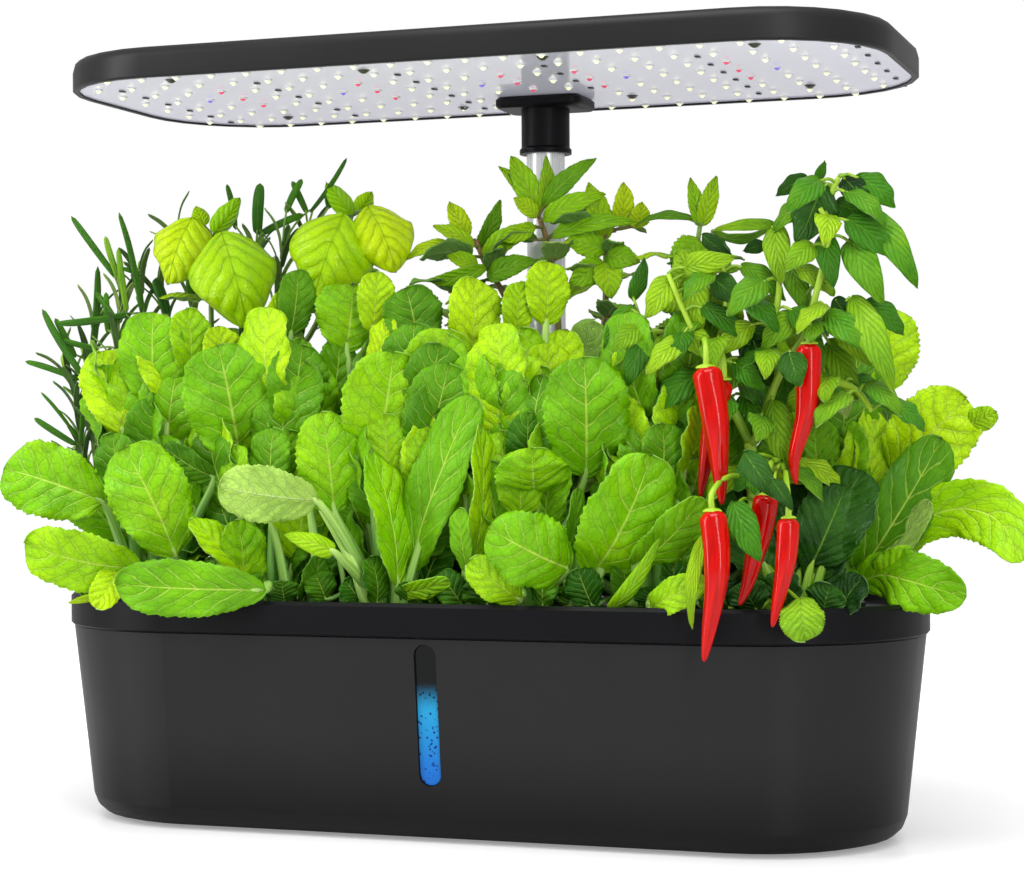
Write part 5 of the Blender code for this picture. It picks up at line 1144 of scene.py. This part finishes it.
# The chili plant
BRANCH_AHEAD = 0.002
BRANCH_PLACES = 9
CHILI_TRUNK = ((765, 602), (762, 560), (754, 500), (750, 443))
CHILI_BRANCHES = (
    ((750, 443), (731, 405), (720, 380), (718, 362), (697, 339), (668, 274)),
    ((750, 443), (758, 435), (777, 380), (804, 333), (818, 286), (829, 234), (820, 208)),
    ((829, 234), (830, 200), (839, 177)),
    ((820, 383), (836, 382), (857, 391), (872, 411)),
    ((804, 333), (820, 318), (837, 312), (846, 304)),
    ((718, 362), (722, 330), (728, 290), (720, 262)),
    ((697, 339), (670, 334), (645, 330)),
    ((777, 380), (770, 340), (778, 300), (780, 262)),
    ((755, 470), (770, 470), (782, 462)),
)
CHILI_SEEN = (
    (823, 184, 798, 245, 46, 0, 4, 10, 0.14, 0.16), (807, 177, 776, 195, 20, 15, 2, 4, 0.12, 0.15),
    (817, 181, 825, 161, 11, 10, 0, 0, 0.08, 0.4), (843, 177, 872, 213, 26, -10, 0, 4, 0.14, 0.02),
    (834, 204, 869, 216, 24, -10, 0, 4, 0.12, 0.35), (851, 216, 897, 257, 28, 0, 0, 6, 0.14, 0.45),
    (868, 212, 918, 288, 31, -12, -4, 4, 0.18, 0.54), (849, 238, 884, 304, 34, 0, 4, 10, 0.16, 0.58),
    (824, 232, 834, 288, 26, 0, 6, 12, 0.12, 0.35), (775, 224, 781, 285, 28, 5, 2, 8, 0.12, 0.82),
    (765, 244, 743, 251, 15, 10, 0, 2, 0.1, 0.1), (776, 224, 713, 230, 13, 20, 2, 6, 0.1, 0.75),
    (702, 235, 733, 257, 16, 10, 4, 8, 0.14, 0.05), (682, 268, 736, 257, 27, 0, 6, 12, 0.14, 0.85),
    (713, 278, 744, 304, 28, 0, 6, 12, 0.14, 0.12), (750, 331, 770, 387, 36, 0, -2, 4, 0.12, 0.12),
    (739, 330, 783, 335, 15, 10, 0, 4, 0.1, 0.15), (789, 352, 799, 387, 30, 0, 26, 28, 0.1, 0.16),
    (852, 296, 894, 392, 32, -8, 6, 14, 0.16, 0.74), (834, 298, 854, 326, 20, 0, 4, 8, 0.12, 0.08),
    (744, 452, 776, 498, 28, 0, 46, 48, 0.12, 0.14), (772, 480, 793, 510, 18, 0, 52, 56, 0.12, 0.12),
    (733, 502, 760, 562, 32, 5, 46, 52, 0.12, 0.42), (705, 533, 692, 629, 17, 25, 44, 50, 0.14, 0.9),
    (648, 330, 626, 388, 26, 10, 8, 12, 0.12, 0.35), (666, 336, 648, 385, 24, 0, 6, 10, 0.12, 0.8),
    (693, 405, 671, 482, 26, 10, 0, 4, 0.12, 0.3), (720, 264, 716, 234, 24, 15, -4, -4, 0.1, 0.3),
    (700, 286, 676, 252, 44, 10, -2, 2, 0.12, 0.85), (674, 276, 646, 318, 30, 10, 6, 10, 0.12, 0.9),
    (694, 272, 700, 336, 28, 10, 2, 6, 0.1, 0.88), (716, 288, 742, 322, 34, 0, -2, 2, 0.12, 0.8),
    (632, 300, 645, 258, 18, 20, -2, -2, 0.1, 0.3), (634, 306, 604, 348, 24, 10, 2, 6, 0.12, 0.5),
    (742, 356, 726, 392, 28, 0, 0, 4, 0.12, 0.6), (772, 400, 790, 468, 34, 20, 6, 10, 0.12, 0.65),
    (790, 262, 806, 312, 26, 0, -6, 0, 0.12, 0.6), (806, 330, 822, 372, 24, 0, -2, 4, 0.12, 0.5),
    (836, 318, 872, 366, 28, 0, -6, 0, 0.12, 0.75), (758, 290, 762, 340, 28, 0, -8, -4, 0.12, 0.7),
    (728, 300, 716, 352, 28, 0, -6, -2, 0.12, 0.6), (690, 320, 676, 372, 28, 0, -6, -2, 0.12, 0.55),
    (744, 392, 758, 440, 28, 0, -6, -2, 0.12, 0.5), (786, 372, 770, 424, 28, 0, -6, -2, 0.12, 0.45),
    (712, 470, 738, 520, 24, 0, -4, 0, 0.12, 0.3), (828, 340, 858, 400, 30, 0, -8, -4, 0.12, 0.7),
    (800, 598, 805, 641, 46, 0, 47, 52, 0.12, 0.72, "round"),
)
# Each fruit's node number, its top and its tip in mm, thickness, bend and tip curl in mm, and dark share
Pepper = namedtuple("Pepper", "node top_x top_y top_z tip_x tip_z thick bend curl dark")
FRUITS = (
    Pepper(1, 119.5, -62, 202.0, 126.0, 145.0, 12.6, 1.4, 0.0, 0.0),
    Pepper(2, 124.0, -49.5, 196.8, 113.6, 147.5, 9.6, -1.4, 0.0, 0.3),
    Pepper(3, 160.4, -52, 211.2, 154.8, 153.0, 10.6, 1.4, 2.4, 0.0),
    Pepper(4, 128.4, -88, 143.8, 124.6, 83.0, 11.4, 3.6, 0.0, 0.0),
    Pepper(5, 147.0, -72, 149.8, 135.4, 104.6, 10.6, 1.4, -0.6, 0.4),
    Pepper(6, 158.4, -84, 140.8, 151.6, 97.0, 9.2, 1.6, 0.0, 0.0),
)


def grow_chili():
    """The bush: trunk and branches, the leaves seen and more along the branches, and the fruits' stalks."""
    centre = pod_centre(CHILI_POD)
    growth = new_growth()
    trunk = traced(CHILI_TRUNK, centre.y)
    trunk[0] = Vector((centre.x, centre.y, STALK_BASE))
    branches = [traced(path, centre.y, BRANCH_AHEAD * (1 - len(path))) for path in CHILI_BRANCHES]
    feet = []
    for row in CHILI_SEEN:
        seen_leaf(growth, centre, row, feet, "chili")
    feet = [(foot, tip) for foot, tip, *_ in feet]
    for points in branches:
        for step in range(2, BRANCH_PLACES):
            angle = step * GOLDEN_TURN
            out = Vector((math.cos(angle), math.sin(angle) * 0.7, 0.2)).normalized()
            foot = on_curve(points, step / BRANCH_PLACES) + out * 0.008
            tip = foot + (out * 0.8 - WORLD_UP * 0.8) * between(0.018, 0.026)
            facing = WORLD_UP * 0.5 + out * 0.4 + (EYE - foot).normalized()
            blade(growth, "chili", foot, tip, between(0.010, 0.014), sway(30), 0.14, between(0.35, 1.0),
                  toward=facing)
            feet.append((foot, tip))
    low = []
    grow_low(growth, centre, low, stalks=0)
    grow_apron(growth, centre, low)
    thicken(growth)
    grow_stalks(growth, centre, low)
    stalk(growth, trunk, *TRUNK_STALK, 0.5, sides=12, rows=24)
    for points in branches:
        stalk(growth, points, *BRANCH_STALK, 0.7, rows=24)
    stems = branches + [trunk]
    for foot, tip in feet:
        twig(growth, nearest(stems, foot), foot, foot.lerp(tip, 0.08), CHILI_TWIG, 0.5, TWIG_LIFT)
    for pepper in FRUITS:
        top = Vector((pepper.top_x, pepper.top_y, pepper.top_z)) * MM
        start = nearest(stems, top + WORLD_UP * 0.012)
        over = top + WORLD_UP * 0.007
        points = [start, start.lerp(over, 0.6) + WORLD_UP * 0.004, over, top - WORLD_UP * 0.0006]
        stalk(growth, points, *FRUIT_STALK, 0.6)
        calyx(growth, top, pepper.thick / 2 * MM)
    planted(growth, CHILI_POD, "chili_bush", "chili", "chili_plant")


CALYX_RISE = 0.0012
CALYX_THICKNESS = 0.0005


def calyx(growth, top, radius):
    """The green cap on a fruit's shoulder, with five short points."""
    def move(across, along):
        angle = -math.pi * across
        lobe = 0.62 + 0.2 * max(0.0, math.cos(5 * angle)) * (along > 0.6)
        if along >= 0.999:
            reach, drop = 0.9 * lobe, 0.30
        elif along > 0.9:
            reach, drop = 0.93 * lobe, 0.27
        else:
            reach, drop = along * 0.95 * lobe, 0.30 * along ** 2
        reach *= radius
        return top + Vector((math.cos(angle) * reach, math.sin(angle) * reach, CALYX_RISE - drop * radius))

    before = set(growth.faces)
    sheet_grid(growth, 20, 8, move, 0.7, STALK_SLOT)
    new = [face for face in growth.faces if face not in before]
    bmesh.ops.recalc_face_normals(growth, faces=new)
    bmesh.ops.solidify(growth, geom=new, thickness=CALYX_THICKNESS)
    for face in growth.faces:
        if face not in before:
            face.material_index = STALK_SLOT
            face.smooth = True


def fruit(pepper):
    """One pepper: shouldered at the top, tapering to a blunt tip, with faint folds along it."""
    top = Vector((pepper.top_x, pepper.top_y, pepper.top_z)) * MM
    tip = Vector((pepper.tip_x, pepper.top_y, pepper.tip_z)) * MM
    bend = pepper.bend * MM
    middle = top.lerp(tip, 0.5) + Vector((bend, -bend * 0.5, 0))
    hook = middle.lerp(tip, 0.62) - Vector((pepper.curl * MM, 0, 0))
    points = [top, top.lerp(middle, 0.5) + Vector((bend * 0.3, 0, 0)), middle, hook, tip]
    growth = new_growth()

    def move(across, along):
        angle = -math.pi * across
        ahead = heading(points, along)
        out = ahead.cross(DEPTH).normalized()
        shoulder = math.sin(min(1.0, along / 0.09) * math.pi / 2) ** 0.6
        taper = (1 - 0.24 * along) * (1 - 0.84 * max(0.0, (along - 0.38) / 0.62) ** 1.35)
        taper *= math.sqrt(max(0.0, 1 - max(0.0, (along - 0.93) / 0.07) ** 2))
        folds = 1 + 0.03 * math.sin(3 * angle + 2 * along) + 0.015 * math.sin(5 * angle + 9 * along)
        size = pepper.thick / 2 * MM * shoulder * taper * folds
        return on_curve(points, along) + (out * math.cos(angle) + ahead.cross(out) * math.sin(angle)) * size

    sheet_grid(growth, 28, 44, move, 0.0)
    layer = growth.verts.layers.float["tone"]
    for vert in growth.verts:
        low = (top.z - vert.co.z) / (top.z - tip.z)
        vert[layer] = pepper.dark * min(1.0, max(0.0, (low - 0.45) * 2))
    bmesh.ops.recalc_face_normals(growth, faces=growth.faces)
    finished(growth, "red_chili_%d" % pepper.node, [CHILI_SKIN], "pod_6",
             ["chili_fruit_%d" % pepper.node])


# The lamp's underside
LED_COLUMNS = 21
LED_ROWS = 8
LED_COLUMN_PITCH = 0.017
LED_ROW_PITCH = 0.0227
LED_BASE = Vector((0.0034, 0.0034, 0.0007))
LED_DOME_RADIUS = 0.00145
LED_DOME_HEIGHT = 0.0011
RED_COLUMNS = (3, 7, 11, 13, 17)
RED_ROWS = (2, 3, 4)
BLUE_COLUMNS = (2, 6, 10, 14, 18)
BLUE_ROW = 3
RESISTOR_COLUMNS = (0, 4, 8, 12, 16, 20)
RESISTOR_SIZE = Vector((0.0022, 0.0034, 0.0006))
SCREW_PLACES = ((-0.125, -0.060), (-0.035, -0.054), (0.049, -0.060), (0.140, -0.059),
                (-0.127, 0.069), (-0.034, 0.069), (0.053, 0.062), (0.138, 0.060))
SCREW_RADIUS = 0.0028
SCREW_HEIGHT = 0.0016
BOARD_GAP = 0.00002
BLOCK_EASE = 0.0002
MOUNT_MARGIN = 0.003
RESISTOR_MARGIN = 0.004


def block(growth, centre, size, material=0):
    """A small block with eased edges that hangs from its centre's height."""
    made = bmesh.ops.create_cube(growth, size=1)["verts"]
    for vert in made:
        vert.co = Vector((vert.co.x * size.x, vert.co.y * size.y, (vert.co.z - 0.5) * size.z)) + centre
    for face in faces_of(made):
        face.material_index = material
    edges = dict.fromkeys(edge for vert in made for edge in vert.link_edges)
    bmesh.ops.bevel(growth, geom=list(edges), offset=BLOCK_EASE, affect="EDGES", segments=1, profile=0.5,
                    material=-1)


def dome(growth, centre, radius, height, sides=10, rings=3):
    """A half-round lens that hangs below its centre."""
    made = bmesh.ops.create_cone(growth, cap_ends=True, segments=sides, radius1=radius, radius2=radius * 0.35,
                                 depth=height)["verts"]
    for vert in made:
        vert.co = Vector((vert.co.x, vert.co.y, -vert.co.z - height / 2)) + centre
    faces = faces_of(made)
    bmesh.ops.reverse_faces(growth, faces=faces)
    crown = centre.z - height / 2
    top = [edge for face in faces if len(face.verts) > 4 and face.calc_center_median().z < crown
           for edge in face.edges]
    bevelled = bmesh.ops.bevel(growth, geom=top, offset=radius * 0.3, affect="EDGES", segments=rings - 1,
                               profile=0.5, material=-1)
    for face in faces + bevelled["faces"]:
        if face.is_valid:
            face.smooth = len(face.verts) <= 4


def light_board():
    """Diodes, resistors and screws under the board."""
    low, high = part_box("led_board")
    centre_y = (low.y + high.y) / 2
    under = low.z - BOARD_GAP
    mount_low, mount_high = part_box("lamp_mount")
    groups = {"warm": bmesh.new(), "red": bmesh.new(), "blue": bmesh.new()}
    resistors = bmesh.new()

    def beside_mount(x):
        return mount_low.x - MOUNT_MARGIN < x < mount_high.x + MOUNT_MARGIN

    for column in range(LED_COLUMNS):
        for row in range(LED_ROWS):
            x = (column - (LED_COLUMNS - 1) / 2) * LED_COLUMN_PITCH
            y = centre_y + (row - (LED_ROWS - 1) / 2) * LED_ROW_PITCH
            if column in (0, LED_COLUMNS - 1) and row in (0, LED_ROWS - 1):
                continue
            if beside_mount(x) and mount_low.y - MOUNT_MARGIN < y < mount_high.y + MOUNT_MARGIN:
                continue
            colour = "warm"
            if column in RED_COLUMNS and row in RED_ROWS:
                colour = "red"
            if column in BLUE_COLUMNS and row == BLUE_ROW:
                colour = "blue"
            block(groups[colour], Vector((x, y, under)), LED_BASE, 1)
            dome(groups[colour], Vector((x, y, under - LED_BASE.z)), LED_DOME_RADIUS, LED_DOME_HEIGHT)
            if column in RESISTOR_COLUMNS and 0 < row < LED_ROWS - 1:
                place = Vector((x + LED_COLUMN_PITCH / 2, y + LED_ROW_PITCH * 0.3, under))
                if not (beside_mount(place.x) and place.y > mount_low.y - RESISTOR_MARGIN):
                    block(resistors, place, RESISTOR_SIZE)
    for colour, material in (("warm", LENS_WARM), ("red", LENS_RED), ("blue", LENS_BLUE)):
        finished(groups[colour], "diodes_" + colour, [material, DIODE_BASE], "lamp")
    finished(resistors, "board_resistors", [RESISTOR_BLACK], "lamp")
    screws = bmesh.new()
    for x, y in SCREW_PLACES:
        dome(screws, Vector((x, y, under)), SCREW_RADIUS, SCREW_HEIGHT, 20, 4)
    finished(screws, "board_screws", [SCREW_DARK], "lamp")


# The stage
FLOOR_SIZE = 12.0
BACKGROUND_LEVEL = 1.0
MIRRORED_WHITE = 0.12
FLOOR_GLOW = 0.28
FAR_FLOOR_GLOW = 0.6
FLOOR_GLOW_FROM = 0.2
FLOOR_GLOW_TO = 0.42
FLOOR_TONE = (0.8, 0.8, 0.8, 1)
WHITE = (1, 1, 1, 1)
WORLD_LIGHT = 0.46


def white_stage():
    """A wide white floor that keeps the shadow, under a white surround."""
    growth = bmesh.new()
    bmesh.ops.create_grid(growth, x_segments=1, y_segments=1, size=FLOOR_SIZE)
    mesh = bpy.data.meshes.new("floor")
    growth.to_mesh(mesh)
    growth.free()
    floor = put("floor", mesh)
    made, tree, shader = new_material("white_floor")
    path = add(tree, "ShaderNodeLightPath").outputs
    mirrored = times(tree, path["Is Glossy Ray"], MIRRORED_WHITE)
    watched = sums(tree, "MAXIMUM", path["Is Camera Ray"], mirrored)
    away = add(tree, "ShaderNodeVectorMath", {0: on_object(tree)}, operation="LENGTH").outputs["Value"]
    level = spread(tree, away, FLOOR_GLOW_FROM, FLOOR_GLOW_TO, FLOOR_GLOW, FAR_FLOOR_GLOW)
    fill(tree, shader, {
        "Base Color": FLOOR_TONE,
        "Roughness": 0.28,
        "Specular IOR Level": 0.35,
        "Emission Strength": times(tree, watched, level),
        "Emission Color": WHITE,
    })
    mesh.materials.append(made)

    world = bpy.data.worlds.new("surround")
    bpy.context.scene.world = world
    world.use_nodes = True
    tree = world.node_tree
    path = add(tree, "ShaderNodeLightPath").outputs
    watched = sums(tree, "MAXIMUM", path["Is Camera Ray"], path["Is Transmission Ray"])
    watched = sums(tree, "MAXIMUM", watched, times(tree, path["Is Glossy Ray"], MIRRORED_WHITE))
    strength = sums(tree, "MULTIPLY_ADD", watched, BACKGROUND_LEVEL - WORLD_LIGHT, WORLD_LIGHT)
    fill(tree, tree.nodes["Background"], {"Strength": strength, "Color": WHITE})


LIGHTS = (
    # name, place, aimed at, width, height, watts
    ("left_box", (-1.3, -0.9, 0.7), (0, 0, 0.15), 0.35, 1.4, 16.0),
    ("right_box", (1.0, -1.3, 0.7), (0.1, 0, 0.15), 0.25, 1.4, 12.0),
    ("top_box", (0.1, -0.5, 1.7), (0, 0, 0.1), 1.2, 1.0, 24.0),
)


def light_boxes():
    for name, place, aim, width, height, watts in LIGHTS:
        made = bpy.data.lights.new(name, "AREA")
        made.shape = "RECTANGLE"
        made.size = width
        made.size_y = height
        made.energy = watts
        lamp = put(name, made)
        lamp.location = place
        lamp.rotation_euler = (Vector(aim) - Vector(place)).to_track_quat("-Z", "Y").to_euler()


# Finishes
GRAIN = grain_group()
VEINS = vein_group()
DIODE_BASE = moulded("diode_base_white", (236, 236, 230), (246, 246, 240), 0.4)
LENS_WARM = moulded("lens_warm_white", (244, 242, 196), (252, 250, 220), 0.12, glow=0.55)
LENS_RED = moulded("lens_red", (226, 70, 110), (240, 100, 136), 0.12, glow=0.3)
LENS_BLUE = moulded("lens_violet", (126, 110, 226), (150, 136, 240), 0.12, glow=0.3)
RESISTOR_BLACK = moulded("resistor_black", (30, 30, 30), (46, 46, 44), 0.4)
SCREW_DARK = moulded("screw_blackened", (52, 50, 44), (78, 76, 66), 0.3)
SPONGE = sponge_finish()
CHILI_SKIN = chili_finish()
HERB_STEM = stem_finish("herb_stem", (88, 120, 40), (140, 176, 74))
HERB_LEAF = [
    leaf_finish("herb_leaf_upper", (52, 120, 6), (148, 206, 12), (206, 238, 14), (178, 214, 90), 0.4,
                6.0, 0.6),
    leaf_finish("herb_leaf_underside", (84, 126, 60), (122, 166, 78), (176, 208, 108), (200, 222, 150), 0.62,
                6.0, 0.6, underside=True),
]
# Each kind of plant's upper side, underside and stem
SKINS = {
    "mustard": [
        leaf_finish("greens_upper", (36, 98, 0), (122, 190, 0), (196, 240, 0), (204, 234, 96), 0.42),
        leaf_finish("greens_underside", (84, 134, 48), (126, 178, 64), (178, 216, 96), (206, 230, 150), 0.6,
                    underside=True),
        stem_finish("greens_stalk", (80, 150, 50), (186, 222, 110)),
    ],
    "needle": [
        leaf_finish("rosemary_needle", (24, 84, 4), (84, 150, 14), (160, 210, 50), (90, 130, 60), 0.34,
                    1.0, 0.2, 0.2, 0.02, vein_share=0.3),
        leaf_finish("rosemary_needle_underside", (60, 92, 44), (90, 126, 66), (150, 180, 96), (150, 176, 110),
                    0.6, 1.0, 0.2, 0.2, 0.02, vein_share=0.3, underside=True),
        HERB_STEM,
    ],
    "basil": [
        leaf_finish("basil_leaf_upper", (70, 140, 2), (156, 216, 2), (214, 240, 4), (120, 184, 6), 0.2,
                    6.0, 0.7, 0.04, 0.06, vein_share=0.3, puff_depth=0.0008),
        leaf_finish("basil_leaf_underside", (96, 146, 66), (130, 176, 84), (180, 212, 110), (190, 216, 140),
                    0.55, 6.0, 0.7, underside=True),
        HERB_STEM,
    ],
    "mint": HERB_LEAF + [stem_finish("mint_red_stem", (70, 118, 26), (150, 92, 56))],
    "balm": HERB_LEAF + [HERB_STEM],
    "chili": [
        leaf_finish("chili_leaf_upper", (14, 52, 10), (70, 142, 14), (170, 214, 24), (130, 180, 60), 0.3,
                    7.0, 0.8, 0.05, 0.06, vein_share=0.45),
        leaf_finish("chili_leaf_underside", (74, 116, 60), (108, 156, 74), (176, 210, 100), (170, 200, 120),
                    0.55, 7.0, 0.8, underside=True),
        stem_finish("chili_stem", (104, 156, 24), (176, 212, 50)),
    ],
}
# The rigid pieces' finishes, by their slot
CARRIED_OVER = {
    # The body's darker foot is painted shade.
    "body_plastic": moulded("body_charcoal", (31, 31, 32), (37, 37, 38), 0.4, shine=0.14, painted_shade_height=0.05),
    "deck_plastic": moulded("deck_blue_black", (8, 8, 11), (13, 13, 16), 0.42, shine=0.12),
    "basket_plastic": moulded("basket_dark_grey", (40, 42, 44), (52, 54, 56), 0.5),
    "button_plastic": moulded("button_soft_grey", (120, 122, 124), (134, 136, 138), 0.45),
    "pump_plastic": moulded("pump_black", (22, 22, 24), (32, 32, 34), 0.45),
    "impeller_plastic": moulded("impeller_off_white", (206, 204, 196), (222, 220, 212), 0.4),
    "window_clear": window_finish(),
    "foot_rubber": moulded("foot_rubber_black", (20, 20, 20), (30, 30, 30), 0.8, 0.00006, 500.0, 0.3),
    "pole_metal": pole_finish(),
    # The light board's glow is painted light: the board itself is no lamp.
    "led_board_white": moulded("light_board_white", (222, 220, 240), (230, 228, 246), 0.16,
                               0.000004, 300.0, 0.6, 0.4, 0.16),
    "circuit_board": moulded("circuit_board_green", (16, 70, 42), (26, 92, 58), 0.4),
}


SMOOTH_BELOW = math.radians(32)
FLAT_WITHIN = math.radians(0.5)


def finish_solids():
    """Each rigid solid as a merged copy with smooth round faces and the finish of its slot."""
    for name, solid in nodes.items():
        slot_name = solid.data.materials[0].name.split(".")[0]
        finish = CARRIED_OVER.get(slot_name)
        if not finish:
            continue
        body = solid["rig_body"]
        growth = bmesh.new()
        growth.from_mesh(solid.data)
        bmesh.ops.remove_doubles(growth, verts=growth.verts, dist=MERGE)
        bmesh.ops.dissolve_limit(growth, angle_limit=FLAT_WITHIN, verts=growth.verts, edges=growth.edges)
        bmesh.ops.recalc_face_normals(growth, faces=growth.faces)
        mesh = bpy.data.meshes.new(name + "_finished")
        growth.to_mesh(mesh)
        growth.free()
        mesh.shade_smooth()
        mesh.set_sharp_from_angle(angle=SMOOTH_BELOW)
        mesh.materials.clear()
        mesh.materials.append(finish)
        piece = put(name + "_finished", mesh)
        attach(piece, body)
        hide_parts(name)


bpy.context.scene.view_settings.view_transform = "Standard"
place_camera()
white_stage()
light_boxes()
finish_solids()
light_board()
for head, number in enumerate(GREENS_SEEN, 1):
    grow_greens(number, "greens_plant_%d" % head)
grow_rosemary()
for herb in HERBS:
    grow_herb(herb)
grow_chili()
for pepper in FRUITS:
    fruit(pepper)
